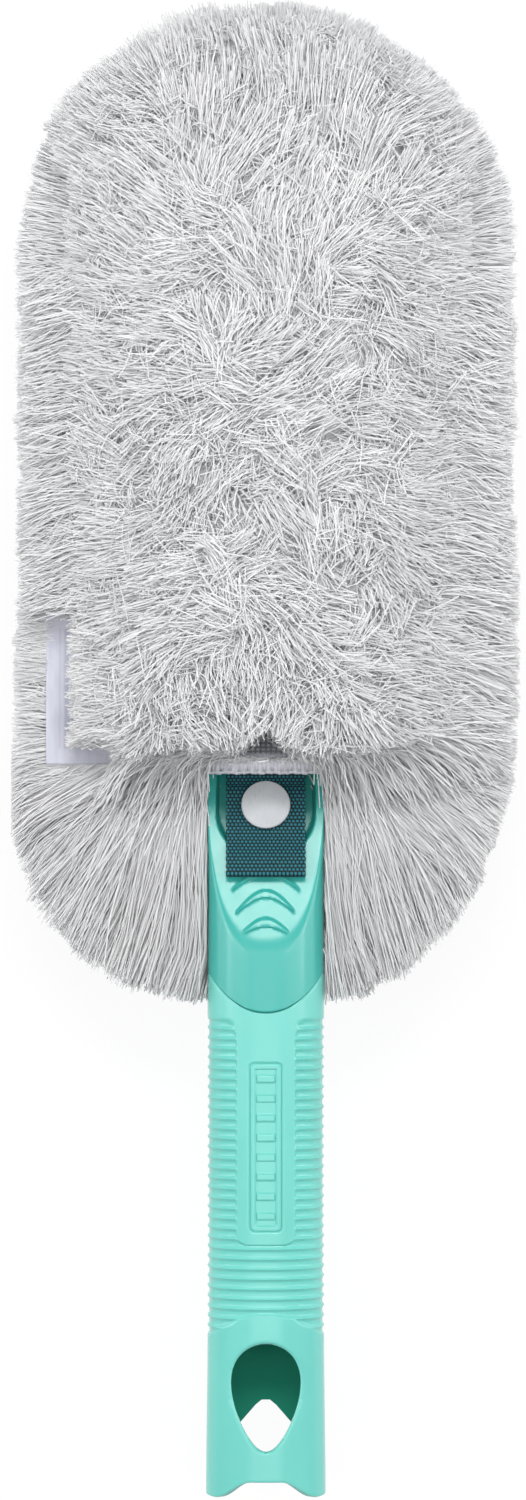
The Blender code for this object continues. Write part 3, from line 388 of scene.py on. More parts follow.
def triangle_piece(name, points, triangles, normals, *looks, **values):
    """The same for a great many triangles, with the normals that they shade by."""
    mesh = bpy.data.meshes.new(name)
    mesh.vertices.add(len(points))
    mesh.vertices.foreach_set("co", (points + SHIFT).astype(np.float32).ravel())
    mesh.loops.add(triangles.size)
    mesh.loops.foreach_set("vertex_index", triangles.astype(np.int32).ravel())
    mesh.polygons.add(len(triangles))
    mesh.polygons.foreach_set("loop_start", np.arange(0, triangles.size, 3, dtype=np.int32))
    mesh.update(calc_edges=True)
    mesh.shade_smooth()
    mesh.normals_split_custom_set_from_vertices(normals.astype(np.float32))
    return as_piece(mesh, *looks, **values)


def loft_faces(rows, columns, caps=True):
    """Faces of a closed tube of rings, with flat ends."""
    faces = []
    last = (rows - 1) * columns
    for low in range(0, last, columns):
        high = low + columns
        for column in range(columns):
            after = (column + 1) % columns
            faces.append((low + column, low + after, high + after, high + column))
    if caps:
        faces.append(tuple(reversed(range(columns))))
        faces.append(tuple(range(last, last + columns)))
    return faces


def slab(outline, low, high):
    """Points and faces of an outline in X and Y, raised from a low level to a high one."""
    points = [np.column_stack([outline, np.full(len(outline), z)]) for z in (low, high)]
    return np.concatenate(points), loft_faces(2, len(outline))


# Handle's section, shared by grip and neck

def section(angle, half_width, front, rear):
    power = 2 / SECTION_POWER
    across = np.sign(np.cos(angle)) * np.abs(np.cos(angle)) ** power
    out = np.sign(np.sin(angle)) * np.abs(np.sin(angle)) ** power
    return half_width * across, np.where(out > 0, front, rear) * out


def side_share(angle):
    return np.abs(np.cos(angle)) ** (2 / SECTION_POWER)


def columns(even_half, step, side_steps, rear_steps):
    """Section angles, even in width over the middle of the front and finer round the sides."""
    count = int(round(even_half / step))
    even = np.arange(-count, count + 1) * step
    turn = np.arccos((np.abs(even) / (GRIP_WIDTH / 2)) ** (SECTION_POWER / 2))
    front = np.sort(np.where(even >= 0, turn, np.pi - turn))
    right = np.linspace(0, front[0], side_steps, endpoint=False)
    rear = np.linspace(np.pi, 2 * np.pi, rear_steps + 1, endpoint=False)[1:]
    return np.concatenate([right, front, np.pi - right[::-1], rear])


def tail_half_width(y):
    return mix(TAIL_WIDTH, GRIP_WIDTH, smooth_step(y / RIBS_START)) / 2


def skin(angle, y, depth_in):
    """Points of the grip's section, sunk by a depth."""
    level = GRIP_DEPTH / 2 - depth_in
    x, z = section(angle, tail_half_width(y) - depth_in, level, level)
    return np.stack([x, y + 0 * x, z], -1)


def seam_y(angle):
    return SEAM_DIP_Y + SEAM_RISE * side_share(angle) ** SEAM_POWER


def tail_edge_y(angle):
    side = side_share(angle)
    fade = (TAIL_DIP_FADE_SHARE - side) / (TAIL_DIP_FADE_SHARE - TAIL_DIP_FLAT_SHARE)
    front = TAIL_FRONT_DIP * smooth_step(fade)
    run = np.maximum(side * GRIP_WIDTH / 2 - TAIL_NOTCH_FLAT, 0.0)
    rear = (TAIL_NOTCH_RISE - run) * smooth_step(-np.sin(angle) / TAIL_NOTCH_TURN_SHARE)
    return np.where(np.sin(angle) >= 0, front, rear)


def tongue_half_width(y):
    drop = np.clip(TONGUE_START + TONGUE_CORNER - y, 0, TONGUE_CORNER)
    rise = np.clip(y - TONGUE_FLARE_START, 0, TONGUE_FLARE_RADIUS)
    corner = TONGUE_CORNER - np.sqrt(TONGUE_CORNER ** 2 - drop ** 2)
    flare = TONGUE_FLARE_RADIUS - np.sqrt(TONGUE_FLARE_RADIUS ** 2 - rise ** 2)
    return TONGUE_WIDTH / 2 - corner + flare


def edge_round(distance, radius):
    """Depth of a rounded edge at a distance from it."""
    share = np.clip(1 - distance / radius, 0, 1)
    return radius * (1 - np.sqrt(1 - share ** 2))


def egg_outline():
    turns = np.linspace(0, 2 * np.pi, HOLE_STEPS, endpoint=False)
    widths = np.cos(turns) * (1 + HOLE_EGG_SHARE * np.sin(turns))
    middle, half_length = (HOLE_START + HOLE_END) / 2, (HOLE_END - HOLE_START) / 2
    scale = HOLE_WIDTH / 2 / widths.max()
    return np.stack([scale * widths, middle + half_length * np.sin(turns)], -1)


def hole_distance(x, y):
    """Distance outside the hang hole, less than 0 inside it."""
    outline = egg_outline()
    nearest = np.linalg.norm(np.stack([x, y], -1)[:, None] - outline, axis=-1).min(axis=1)
    outline = outline[outline[:, 1].argsort()]
    half = np.interp(y, outline[:, 1], np.abs(outline[:, 0]), left=0, right=0)
    return np.where(np.abs(x) < half, -nearest, nearest)


def rib_depth(x, y, angle):
    """How far the skin lies under the ribs' crests: nothing on the tongue and the end piece."""
    phase = (y - RIBS_START) / RIB_PITCH
    valley = 1 - np.exp(-((phase - np.round(phase)) / RIB_CREST_SHARE) ** 2)
    arch = RIBS_START + RIBS_ARCH_RISE * (1 - side_share(angle) ** 2)
    beside = smooth_step((np.abs(x) - tongue_half_width(y)) / TONGUE_SOFT)
    below = smooth_step((TONGUE_START - y) / TONGUE_SOFT)
    off_tongue = np.where(np.sin(angle) > 0, np.maximum(beside, below), 1.0)
    between = smooth_step((y - arch) / TONGUE_SOFT) * smooth_step((RIBS_END - y) / TONGUE_SOFT)
    return RIB_DEPTH * valley * between * off_tongue


def cartouche_depth(x, y):
    """A groove round a rim, and a recess inside it with plain raised bars."""
    half_length = (CARTOUCHE_END - CARTOUCHE_START) / 2
    dx = np.abs(x) - (CARTOUCHE_WIDTH / 2 - CARTOUCHE_CORNER)
    dy = np.abs(y - CARTOUCHE_START - half_length) - (half_length - CARTOUCHE_CORNER)
    outside = np.hypot(np.maximum(dx, 0), np.maximum(dy, 0))
    distance = outside + np.minimum(np.maximum(dx, dy), 0) - CARTOUCHE_CORNER
    def within(room):
        return smooth_step(room / CARTOUCHE_SOFT + 0.5)
    groove = within(-distance) - within(-CARTOUCHE_GROOVE - distance)
    pitch = 2 * (half_length - CARTOUCHE_INSET) / CARTOUCHE_BARS
    place = (y - CARTOUCHE_START - CARTOUCHE_INSET) / pitch - 0.5
    bar = within(CARTOUCHE_BAR_WIDTH / 2 - np.abs(place - np.round(place)) * pitch)
    bar *= within(-distance - CARTOUCHE_INSET - CARTOUCHE_GROOVE)
    return CARTOUCHE_DEPTH * (groove + within(-CARTOUCHE_INSET - distance) * (1 - bar))


def build_grip(material):
    angles = columns(GRIP_EVEN_HALF, GRIP_COLUMN, 15, 32)
    front = np.sin(angles) > 0
    edge, seam = tail_edge_y(angles), seam_y(angles)
    cavity_end = TAIL_NOTCH_RISE + GRIP_WALL
    levels = list(np.linspace(BULKHEAD_Y, cavity_end, 12))
    levels += [mix(cavity_end, edge, share) for share in (0.2, 0.4, 0.6, 0.8, 1.0)]
    rings = [skin(angles, y, GRIP_WALL) for y in levels]
    inside_count = len(rings) * len(angles)
    for row in range(TAIL_ROWS):
        y = mix(edge, RIBS_START, (row / TAIL_ROWS) ** 1.15)
        x, _ = section(angles, tail_half_width(y), 0, 0)
        near = np.where(front, np.maximum(hole_distance(x, y), 0), GRIP_WIDTH)
        depth = np.maximum(edge_round(y - edge, TAIL_ROUND), edge_round(near, HOLE_ROUND))
        rings.append(skin(angles, y, depth))
    for y in np.linspace(RIBS_START, RIBS_END, RIB_COUNT * RIB_SAMPLES + 1):
        x, _ = section(angles, tail_half_width(y), 0, 0)
        rings.append(skin(angles, y, rib_depth(x, y, angles) + front * cartouche_depth(x, y)))
    for share in np.linspace(0, 1, 15)[1:]:
        y = mix(RIBS_END, seam, share)
        rings.append(skin(angles, y, edge_round(seam - y, SEAM_ROUND)))
    for y in (seam, SPIGOT_FOOT, BULKHEAD_Y + BULKHEAD_THICKNESS):
        rings.append(skin(angles, y, GRIP_WALL))
    points = np.concatenate(rings)
    # the cavity's walls, which the plastic's material paints darker as shade
    inside = np.arange(len(points)) < inside_count
    grip = mesh_piece("grip_moulding", points, loft_faces(len(rings), len(angles)), material,
                      "mint", ["grip"], inside=inside)
    cut_hole(grip)


def cut_hole(grip):
    """Cuts the hang hole through the front wall."""
    points, faces = slab(egg_outline(), 0.0, GRIP_DEPTH)
    mesh = bpy.data.meshes.new("hole_cutter")
    mesh.from_pydata((points + SHIFT).tolist(), [], faces)
    cutter = new_object("hole_cutter", mesh)
    modifier = grip.modifiers.new("hole", "BOOLEAN")
    modifier.operation = "DIFFERENCE"
    modifier.solver = "EXACT"
    modifier.object = cutter
    graph = bpy.context.evaluated_depsgraph_get()
    shaped = bpy.data.meshes.new_from_object(grip.evaluated_get(graph))
    grip.modifiers.clear()
    grip.data = shaped
    bpy.data.objects.remove(cutter, do_unlink=True)
    shaped.shade_smooth()
    shaped.set_sharp_from_angle(angle=math.radians(40))


# Neck

def along_ramp(y):
    return (y - RAMP_START) / math.cos(RAMP_ANGLE)


def pocket_share(x, y):
    """1 in the pocket, 0 outside it, with soft walls."""
    half = POCKET_WIDTH / 2
    below = along_ramp(POCKET_ROUND_Y) - along_ramp(y)
    stretched = np.hypot(x / half, np.maximum(below, 0) / POCKET_ROUND)
    distance = (stretched - 1) * np.where(below > 0, POCKET_ROUND, half)
    distance = np.maximum(distance, along_ramp(y) - along_ramp(POCKET_TOP_Y))
    return smooth_step(-distance / POCKET_SOFT)


def crescent_lift(x, y):
    lift = 0.0 * x
    up = along_ramp(y)
    for tip, crown, half, thick in zip(CRESCENT_TIPS, CRESCENT_CROWNS, CRESCENT_HALF_WIDTHS,
                                       CRESCENT_THICKNESS):
        arch = np.sin(np.pi * np.clip((x / half + 1) / 2, 0, 1))
        outer = mix(along_ramp(tip), along_ramp(crown), arch)
        inner = outer - thick * mix(0.4, 1.0, arch)
        band = smooth_step((outer - up) / CRESCENT_SOFT) * smooth_step((up - inner) / CRESCENT_SOFT)
        lift = np.maximum(lift, CRESCENT_HEIGHT * band * (np.abs(x) < half))
    return lift


def neck_ring(angles, y):
    narrowing = smooth_step((y - BLADE_START) / (BLADE_END - BLADE_START))
    taper = smooth_step((y - REAR_TAPER_START) / (REAR_TAPER_END - REAR_TAPER_START))
    x, z = section(angles, mix(GRIP_WIDTH, BLADE_TIP_WIDTH, narrowing) / 2, GRIP_DEPTH / 2,
                   mix(GRIP_DEPTH / 2, BLADE_UNDER, taper))
    ramp = np.maximum(GRIP_DEPTH / 2 - (y - RAMP_START) * math.tan(RAMP_ANGLE), BLADE_TOP)
    cut = ramp + crescent_lift(x, y) / math.cos(RAMP_ANGLE)
    share = np.clip(0.5 + 0.5 * (cut - z) / RAMP_ROUND, 0, 1)
    level = mix(cut, z, share) - RAMP_ROUND * share * (1 - share)
    sunk = POCKET_DEPTH / math.cos(RAMP_ANGLE) * pocket_share(x, y)
    sunk = level - sunk * smooth_step((z - cut) / RAMP_ROUND + 1)
    level = np.where(np.sin(angles) > -0.2, np.maximum(sunk, CLEARANCE - BLADE_UNDER), level)
    return np.stack([x, y + 0 * x, level], -1)


def build_neck(material):
    angles = columns(NECK_EVEN_HALF, NECK_COLUMN, 10, 32)
    seam = seam_y(angles) + CLEARANCE
    shoulder = SEAM_DIP_Y + SEAM_RISE + GRIP_WALL
    rings = [skin(angles, y, GRIP_WALL + CLEARANCE) for y in (SPIGOT_FOOT, seam)]
    rings.append(skin(angles, seam, SEAM_ROUND))
    levels = [mix(seam, shoulder, share ** 1.3) for share in np.linspace(0, 1, 24)[1:-1]]
    levels += list(np.arange(shoulder, NECK_FINE_END, NECK_ROW))
    levels += list(np.linspace(NECK_FINE_END, BLADE_END, 10))
    rings += [neck_ring(angles, y) for y in levels]
    mesh_piece("neck_moulding", np.concatenate(rings), loft_faces(len(rings), len(angles)),
               material, "mint_neck", ["neck"], sharp=50)


# Strap and press stud

def on_ramp(across, up, out):
    """Points from places across the ramp, up it and out of it."""
    y = RAMP_START + up * math.cos(RAMP_ANGLE) + out * math.sin(RAMP_ANGLE)
    z = GRIP_DEPTH / 2 - up * math.sin(RAMP_ANGLE) + out * math.cos(RAMP_ANGLE)
    return np.stack([across, y, z], -1)


def strap_path():
    """Middle line of the webbing as points up the ramp and out of it: from its sewn end, over the
    hinge line and the snap, round the fold and back underneath."""
    half = STRAP_LAYER / 2
    hinge_up, hinge_out = along_ramp(STRAP_HINGE_Y), STRAP_HINGE_OUT
    length = hinge_up - along_ramp(STRAP_END_Y)
    end_high = STRAP_STAND_OFF + 2 * STRAP_LAYER + STRAP_BUCKLE
    fold = (end_high - STRAP_STAND_OFF) / 2 - half
    keys = [(STRAP_ROOT_LENGTH, STRAP_ROOT_LENGTH * math.tan(RAMP_ANGLE)), STRAP_ENTRY, (0, 0)]
    keys = [(hinge_up + up, hinge_out + out) for up, out in keys]
    over = ((0.09, 0.0, 0.25), (0.16, 0.0, 1.0), (0.30, 0.0, 1.0), (0.56, 0.0, 1.0),
            (0.68, 0.35, 1.0), (0.80, 0.85, 1.0), (0.90, 1.0, 1.0))
    for share, rise, reach in over:
        top = mix(STRAP_OVER, end_high, rise) - half
        keys.append((hinge_up - share * length, mix(hinge_out, top, reach)))
    for turn in np.radians((60, 20, -20, -60)):
        keys.append((hinge_up - length + fold + half - fold * math.cos(turn),
                     STRAP_STAND_OFF + half + fold + fold * math.sin(turn)))
    for share, rise in ((0.84, 1.0), (0.72, 0.75), (0.62, 0.30), (0.52, 0.0), (0.14, 0.0)):
        keys.append((hinge_up - share * length, mix(CLEARANCE, STRAP_STAND_OFF, rise) + half))
    return smooth_line(np.array(keys))


def smooth_line(keys, steps=24):
    """A smooth line through the keys."""
    padded = np.concatenate([[2 * keys[0] - keys[1]], keys, [2 * keys[-1] - keys[-2]]])
    shares = np.linspace(0, 1, steps, endpoint=False)[:, None]
    out = []
    for a, b, c, d in zip(padded, padded[1:], padded[2:], padded[3:]):
        out.append(0.5 * (2 * b + (c - a) * shares + (2 * a - 5 * b + 4 * c - d) * shares ** 2
                          + (3 * b - a - 3 * c + d) * shares ** 3))
    return np.concatenate(out + [keys[-1:]])


def even_line(line, step):
    """The same line with even steps, and the length along it."""
    lengths = np.concatenate([[0], np.cumsum(np.linalg.norm(np.diff(line, axis=0), axis=1))])
    at = np.linspace(0, lengths[-1], int(lengths[-1] / step) + 1)
    return np.stack([np.interp(at, lengths, line[:, i]) for i in range(line.shape[1])], -1), at


def weave_lift(across, along):
    """Height of a plain weave's beads, from 0 in the gaps to 1 on the crowns."""
    row = np.round(along)
    u = across - 0.5 * (row % 2)
    off_u = u - np.floor(u) - 0.5
    bead = np.sqrt(np.maximum(1 - 3.4 * off_u ** 2, 0))
    return bead * np.sqrt(np.maximum(1 - 3.2 * (along - row) ** 2, 0))


def build_strap(material):
    line, at = even_line(strap_path(), STRAP_STEP)
    tangent = unit(np.gradient(line, axis=0))
    steps = WEAVE_ACROSS * 6
    shares = np.linspace(0, 1, steps + 1)
    x, at = np.meshgrid((shares - 0.5) * STRAP_WIDTH, at)
    bead = weave_lift(shares[None, :] * WEAVE_ACROSS, at / WEAVE_PITCH)
    ease = smooth_step((STRAP_WIDTH / 2 - np.abs(x)) / SELVAGE)
    half = (STRAP_LAYER / 2 - WEAVE_RELIEF * (1 - bead)) * mix(0.72, 1.0, ease)
    x = x + np.sign(x) * SELVAGE_WAVE * np.cos(np.pi * at / WEAVE_PITCH) * (1 - ease)
    sides = [on_ramp(x, line[:, :1] + half * tangent[:, 1:], line[:, 1:] - half * tangent[:, :1])
             for half in (half, -half)]
    ring = np.concatenate([sides[0], sides[1][:, ::-1]], axis=1)
    rows, count = ring.shape[:2]
    faces = loft_faces(rows, count, caps=False)
    for base, way in ((0, -1), ((rows - 1) * count, 1)):
        for column in range(steps):
            quad = (base + column, base + column + 1, base + count - 2 - column,
                    base + count - 1 - column)
            faces.append(quad[::way])
    # lift: each bead's height, which the webbing's material turns into painted shade in the gaps
    strap = mesh_piece("webbing_strap", ring.reshape(-1, 3), faces, material, "webbing",
                       ["strap_tab", "strap_root"], body=None,
                       lift=np.concatenate([bead, bead[:, ::-1]], axis=1))
    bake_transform(strap)


def build_cap(material):
    under = STRAP_OVER + CLEARANCE
    top = under + CAP_THICKNESS
    edge = top - CAP_DOME
    profile = [(SHANK_RADIUS, -SOCKET_WEB + CLEARANCE), (SHANK_RADIUS, under),
               (CAP_RADIUS - CAP_EDGE * 2, under), (CAP_RADIUS - CAP_EDGE / 2, under + CAP_EDGE / 3),
               (CAP_RADIUS, under + CAP_EDGE)]
    for turn in np.linspace(0, np.pi / 2, 6):
        profile.append((CAP_RADIUS - CAP_EDGE * (1 - math.cos(turn)),
                        edge + CAP_EDGE * math.sin(turn)))
    for share in (0.9, 0.75, 0.55, 0.35, 0.15):
        profile.append(((CAP_RADIUS - CAP_EDGE) * share,
                        edge + CAP_EDGE + (CAP_DOME - CAP_EDGE) * (1 - share ** 2.6)))
    turns = np.linspace(0, 2 * np.pi, 96, endpoint=False)
    rings = [on_ramp(radius * np.cos(turns), along_ramp(SNAP_Y) + radius * np.sin(turns),
                     np.full(len(turns), height)) for radius, height in profile]
    mesh_piece("snap_button", np.concatenate(rings), loft_faces(len(rings), len(turns)), material,
               "snap_white", ["snap_cap"], body="strap", sharp=50)


# Sleeve

def build_panels(material):
    for name, foot, foot_corner, low, high in (
            ("front_panel", PANEL_FOOT + CLEARANCE, CLEARANCE, FRONT_PANEL_UNDER, FRONT_PANEL_OVER),
            ("rear_panel", PANEL_FOOT, REAR_CORNER, REAR_PANEL_UNDER, REAR_PANEL_OVER)):
        outline = []
        top = PANEL_TOP - PANEL_CORNER
        for side, y, radius, start in (
                (1, foot + foot_corner, foot_corner, -90), (1, top, PANEL_CORNER, 0),
                (-1, top, PANEL_CORNER, 90), (-1, foot + foot_corner, foot_corner, 180)):
            for turn in np.radians(np.linspace(start, start + 90, 15)):
                outline.append((side * (PANEL_WIDTH / 2 - radius) + radius * math.cos(turn),
                                y + radius * math.sin(turn)))
        piece = mesh_piece(name + "_knit", *slab(np.array(outline), low, high), material, "knit",
                           [name], sharp=40)


def build_hem(node, half, foot, height, under, over, side, material):
    """An overlocked edge: rounded stitches side by side, which wrap the panel's lower edge."""
    across = np.linspace(-half, half, int(2 * half / HEM_STITCH) * 7 + 1)
    phase = across / HEM_STITCH
    ridge = np.sqrt(np.maximum(1 - 3.6 * (phase - np.floor(phase) - 0.5) ** 2, 0))
    thick = over - under
    low, high = (under, over) if side > 0 else (over, under)
    profile = ((foot + height, 0.25), (foot + height * 0.75, 0.75), (foot + height * 0.45, 1.0),
               (foot + thick * 0.5, 1.0))
    rings = []
    for x, swell in zip(across, ridge):
        wobble = HEM_WOBBLE * math.sin(x * 900) + HEM_WOBBLE_FINE * math.sin(x * 2300 + 1)
        ring = []
        for y, share in profile:
            z = mix(low + (high - low) * 0.35, high, share * mix(0.72, 1.0, swell))
            ring.append((x + HEM_SLANT * (y - foot) / height, y + wobble, z))
        radius = thick / 2 * mix(0.78, 1.0, swell)
        for turn in np.linspace(np.pi / 2, -np.pi / 2, 7):
            ring.append((x, foot + thick / 2 - radius * math.cos(turn) + wobble,
                         (under + over) / 2 + side * radius * math.sin(turn)))
        ring += [(x, foot + thick * 0.5, low), (x, foot + height, low)]
        rings.append(ring)
    # lift: each stitch's ridge, which the thread's material turns into painted shade in its grooves
    mesh_piece(node + "_stitching", np.array(rings).reshape(-1, 3),
               loft_faces(len(rings), len(ring)), material, "hem", [node],
               lift=np.repeat(ridge, len(ring)))


def build_seam(material):
    """The taped seam round the sleeve's edge, between the two panels."""
    half, corner = PANEL_WIDTH / 2 - SEAM_SETBACK, PANEL_CORNER - SEAM_SETBACK
    corner_y = PANEL_TOP - PANEL_CORNER
    straight = np.linspace(SEAM_FOOT, corner_y, 60)
    line = [(half, y) for y in straight]
    for turn in np.radians(np.linspace(3, 177, 50)):
        side = 1 if turn < np.pi / 2 else -1
        line.append((side * (half - corner) + corner * math.cos(turn),
                     corner_y + corner * math.sin(turn)))
    line = np.array(line + [(-half, y) for y in straight[::-1]])
    turns = np.linspace(0, 2 * np.pi, 12, endpoint=False)
    wide = SEAM_TAPE_HALF * np.cos(turns)
    height = min(FRONT_PANEL_UNDER - REAR_PANEL_OVER, SEAM_MOST_HEIGHT) / 2 - CLEARANCE
    z = (FRONT_PANEL_UNDER + REAR_PANEL_OVER) / 2 + height * np.sin(turns)
    rings = [np.stack([x - wide * ty, y + wide * tx, z], -1)
             for (x, y), (tx, ty) in zip(line, unit(np.gradient(line, axis=0)))]
    mesh_piece("side_seam_tape", np.concatenate(rings), loft_faces(len(rings), len(turns)),
               material, "hem", ["side_seam"])


def build_label(material):
    """A satin tape, barely curled, sewn into the seam along its right edge."""
    wide, rows = 41, 71
    x, y = np.meshgrid(np.linspace(0, LABEL_REACH, wide), np.linspace(0, LABEL_LENGTH, rows))
    curl = LABEL_CURL * (1 - x / LABEL_REACH) ** 2 * np.sin(y / LABEL_LENGTH * 5 + 0.6)
    curl += LABEL_RIPPLE * np.sin(x * 260 + y * 90) + LABEL_STAND_OFF
    z = LABEL_LIFT + curl * smooth_step(1 - x / LABEL_REACH * 0.75)
    top = np.stack([LABEL_OUTER_X + x, LABEL_FOOT + y, z], -1).reshape(-1, 3)
    count = len(top)
    faces = []
    for row in range(0, count - wide, wide):
        for a in range(row, row + wide - 1):
            faces.append((a, a + 1, a + 1 + wide, a + wide))
            faces.append((count + a, count + a + wide, count + a + 1 + wide, count + a + 1))
    border = [*range(wide - 1), *range(wide - 1, count - 1, wide),
              *range(count - 1, count - wide, -1), *range(count - wide, 0, -wide)]
    for here, there in zip(border, border[1:] + border[:1]):
        faces.append((there, here, count + here, count + there))
    piece = mesh_piece("label_tape", np.concatenate([top, top - UP * LABEL_THICKNESS]), faces,
                       material, "satin", ["label"], label_x=np.tile(x.ravel(), 2),
                       label_y=np.tile(y.ravel(), 2))


# Pile

class Ripples:
    """A smooth field of even size: a sum of waves in random directions."""

    def __init__(self, random, shortest, longest, count=14):
        turns = random.uniform(0, 2 * np.pi, count)
        numbers = 2 * np.pi / random.uniform(shortest, longest, count)
        self.waves = np.stack([np.cos(turns) * numbers, np.sin(turns) * numbers], -1)
        self.phases = random.uniform(0, 2 * np.pi, count)
        self.scale = math.sqrt(2 / count)

    def __call__(self, points):
        return np.sin(points[..., :2] @ self.waves.T + self.phases).sum(-1) * self.scale


class PileSide:
    """One side's pile, in the space of its solids: locks rooted on the fabric, with their tips on
    the outline that the pile is trimmed to. A set of locks is its roots, two handles each, ends
    and the ways that it faces."""

    def __init__(self, name, side, foot, reach, shed, top, width, height, seed):
        self.name = name
        self.side = side
        self.foot_length = PILE_STRAIGHT_START - foot
        self.shed = shed
        self.foot_reach = shed - reach
        self.end_reach = top - PILE_STRAIGHT_END
        self.half_width = width / 2
        self.height = height
        self.random = np.random.default_rng(seed)
        self.ground = (FRONT_PANEL_OVER if side > 0 else REAR_PANEL_UNDER) + side * CLEARANCE
        self.flow_x = Ripples(self.random, *FLOW_WAVES)
        self.flow_y = Ripples(self.random, *FLOW_WAVES)
        self.swell = Ripples(self.random, *SWELL_WAVES)
        self.foot_arc = max(self.foot_reach, self.height * FOOT_ARC_SHARE) * LAST_BEND
        self.end_arc = self.end_reach * LAST_BEND
        self.stretched = PILE_STRAIGHT_END - self.shed
        self.total = self.foot_arc + self.stretched + self.end_arc

    def station(self, share):
        """Y on the fabric and bend at a share of the way from the foot to the far end."""
        at = share * self.total
        bend = np.where(at < self.foot_arc, -LAST_BEND * (1 - at / self.foot_arc), 0.0)
        past = at - self.foot_arc - self.stretched
        bend = np.where(past > 0, LAST_BEND * past / self.end_arc, bend)
        run = np.clip((at - self.foot_arc) / self.stretched, 0, 1)
        return mix(PILE_STRAIGHT_START, PILE_STRAIGHT_END, run), bend

    def share_of(self, y, bend):
        """Share of the way from the foot to the far end."""
        straight = (y - PILE_STRAIGHT_START) / (PILE_STRAIGHT_END - PILE_STRAIGHT_START)
        at = self.foot_arc * (1 + np.minimum(bend, 0) / LAST_BEND) + self.stretched * straight
        return (at + self.end_arc * np.maximum(bend, 0) / LAST_BEND) / self.total

    def roots(self, turn, y, bend):
        length = np.where(bend < 0, self.foot_length, PANEL_TOP - PILE_STRAIGHT_END)
        half = PANEL_WIDTH / 2 * np.cos(bend)
        lift = PILE_LIP + PILE_RISE * np.cos(turn) * np.cos(bend)
        return np.stack([half * np.sin(turn), y + length * np.sin(bend),
                         self.ground + self.side * lift], -1)

    def tips(self, turn, y, bend):
        start_share = (PILE_STRAIGHT_END - y) / (PILE_STRAIGHT_END - PILE_STRAIGHT_START)
        out = np.abs(np.sin(bend)) ** np.where(bend < 0, 2 / FOOT_POWER, 1.0)
        spread = smooth_step((bend - SPREAD_BEND) / SPREAD_TURN)
        far = mix(self.end_reach, OVERALL_LENGTH - PILE_STRAIGHT_END, spread)
        near = self.foot_reach * (REAR_OVER_SHARE if self.side < 0 else 1.0)
        tip_y = mix(PILE_STRAIGHT_END, self.shed, start_share)
        tip_y = tip_y + np.where(bend < 0, -near, far) * out
        power = np.where(bend < 0, FOOT_POWER, OUTLINE_POWER)
        half = mix(self.half_width, HEAD_WIDTH / 2, spread)
        half = half * np.maximum(np.cos(bend), 0) ** (2 / power)
        tight = FOOT_TIGHT_SHARE * smooth_step(-bend / LAST_BEND * 1.6) * (np.sin(turn) > 0)
        level = np.abs(np.cos(turn))
        if self.side < 0:
            level = np.sqrt(np.maximum(1 - np.abs(np.sin(turn)) ** FLATTEN_POWER, 0))
        height = self.height * level * np.sqrt(np.maximum(np.cos(bend), 0))
        return np.stack([half * (1 - tight) * np.sin(turn), tip_y,
                         self.ground + self.side * height], -1)

    def facing(self, turn, bend):
        """Which way the pile's outline faces, the front one's a little more to the front."""
        out = np.stack([np.sin(turn) * np.cos(bend), np.sin(bend),
                        self.side * np.cos(turn) * np.cos(bend)], -1)
        return unit(out + UP * 0.6 * (self.side > 0))

    def rim_facing(self, turn, bend):
        return unit(self.facing(turn, bend) * 0.5 + UP)

    def places(self):
        """Turn, Y and bend of each lock, evenly over the outline and a little shaken."""
        turns, shares = [], []
        rows = int(self.total / LOCK_SPACING)
        for row in range(rows):
            _, bend = self.station((row + 0.5) / rows)
            half = self.half_width * math.cos(bend) ** (2 / OUTLINE_POWER)
            girth = 2 * math.hypot(half, self.height * math.sqrt(math.cos(bend))) * GIRTH_SHARE
            count = max(int(girth / LOCK_SPACING), 3)
            across = (np.arange(count) + 0.5 + self.random.uniform(-0.38, 0.38, count)) / count
            turns.append(np.pi * (across - 0.5))
            shares.append((row + 0.5 + self.random.uniform(-0.4, 0.4, count)) / rows)
        return np.concatenate(turns), *self.station(np.concatenate(shares))

    def locks(self):
        """Share of the way along, uprightness and curves of the locks. The tips are even over the
        outline, and the roots lie upstream of them, so that no parting is bare."""
        turn, y, bend = self.places()
        random, vertical = self.random, UP * self.side
        root, tip = self.roots(turn, y, bend), self.tips(turn, y, bend)
        count = len(root)
        length = length_of(tip - root)
        upright = np.abs(np.cos(turn) * np.cos(bend))[:, None]
        flow = np.stack([self.flow_x(tip), self.flow_y(tip), np.zeros(count)], -1) * FLOW_SWIRL
        flow[:, 0] += tip[:, 0] / FLOW_WIDTH
        flow[:, 1] += (tip[:, 1] - PARTING_Y) / FLOW_LENGTH
        calm = smooth_step(length_of(flow) / FLOW_CALM)
        flow[:, :2] += random.normal(0, 1, (count, 2)) * mix(0.55, 0.22, calm)
        flow = unit(flow)
        lean = mix(0.04, 0.66 if self.side > 0 else 0.24, upright)
        deep = random.random((count, 1)) < 0.35
        shorter = 1 - np.where(deep, random.uniform(0.08, 0.34, (count, 1)),
                               random.uniform(0.0, 0.07, (count, 1))) * upright
        shorter += random.uniform(-0.03, 0.03, (count, 1)) * (1 - upright)
        root = root - flow * length * lean * 0.75
        root[:, 0] = np.clip(root[:, 0], -PANEL_WIDTH / 2, PANEL_WIDTH / 2)
        end = root + (tip - root) * shorter + flow * length * lean * 0.15
        out = unit(end - root)
        rise = unit(out * 0.6 + vertical * mix(0.2, 1.0, upright))
        arrival = unit(out * mix(1.0, 0.45, upright) + flow * upright * 0.8
                       - vertical * upright * 0.25 * random.random((count, 1)))
        size = length_of(end - root)
        curves = (root, root + rise * size * 0.34, end - arrival * size * 0.36, end,
                  self.facing(turn, bend))
        return self.share_of(y, bend), upright[:, 0], curves

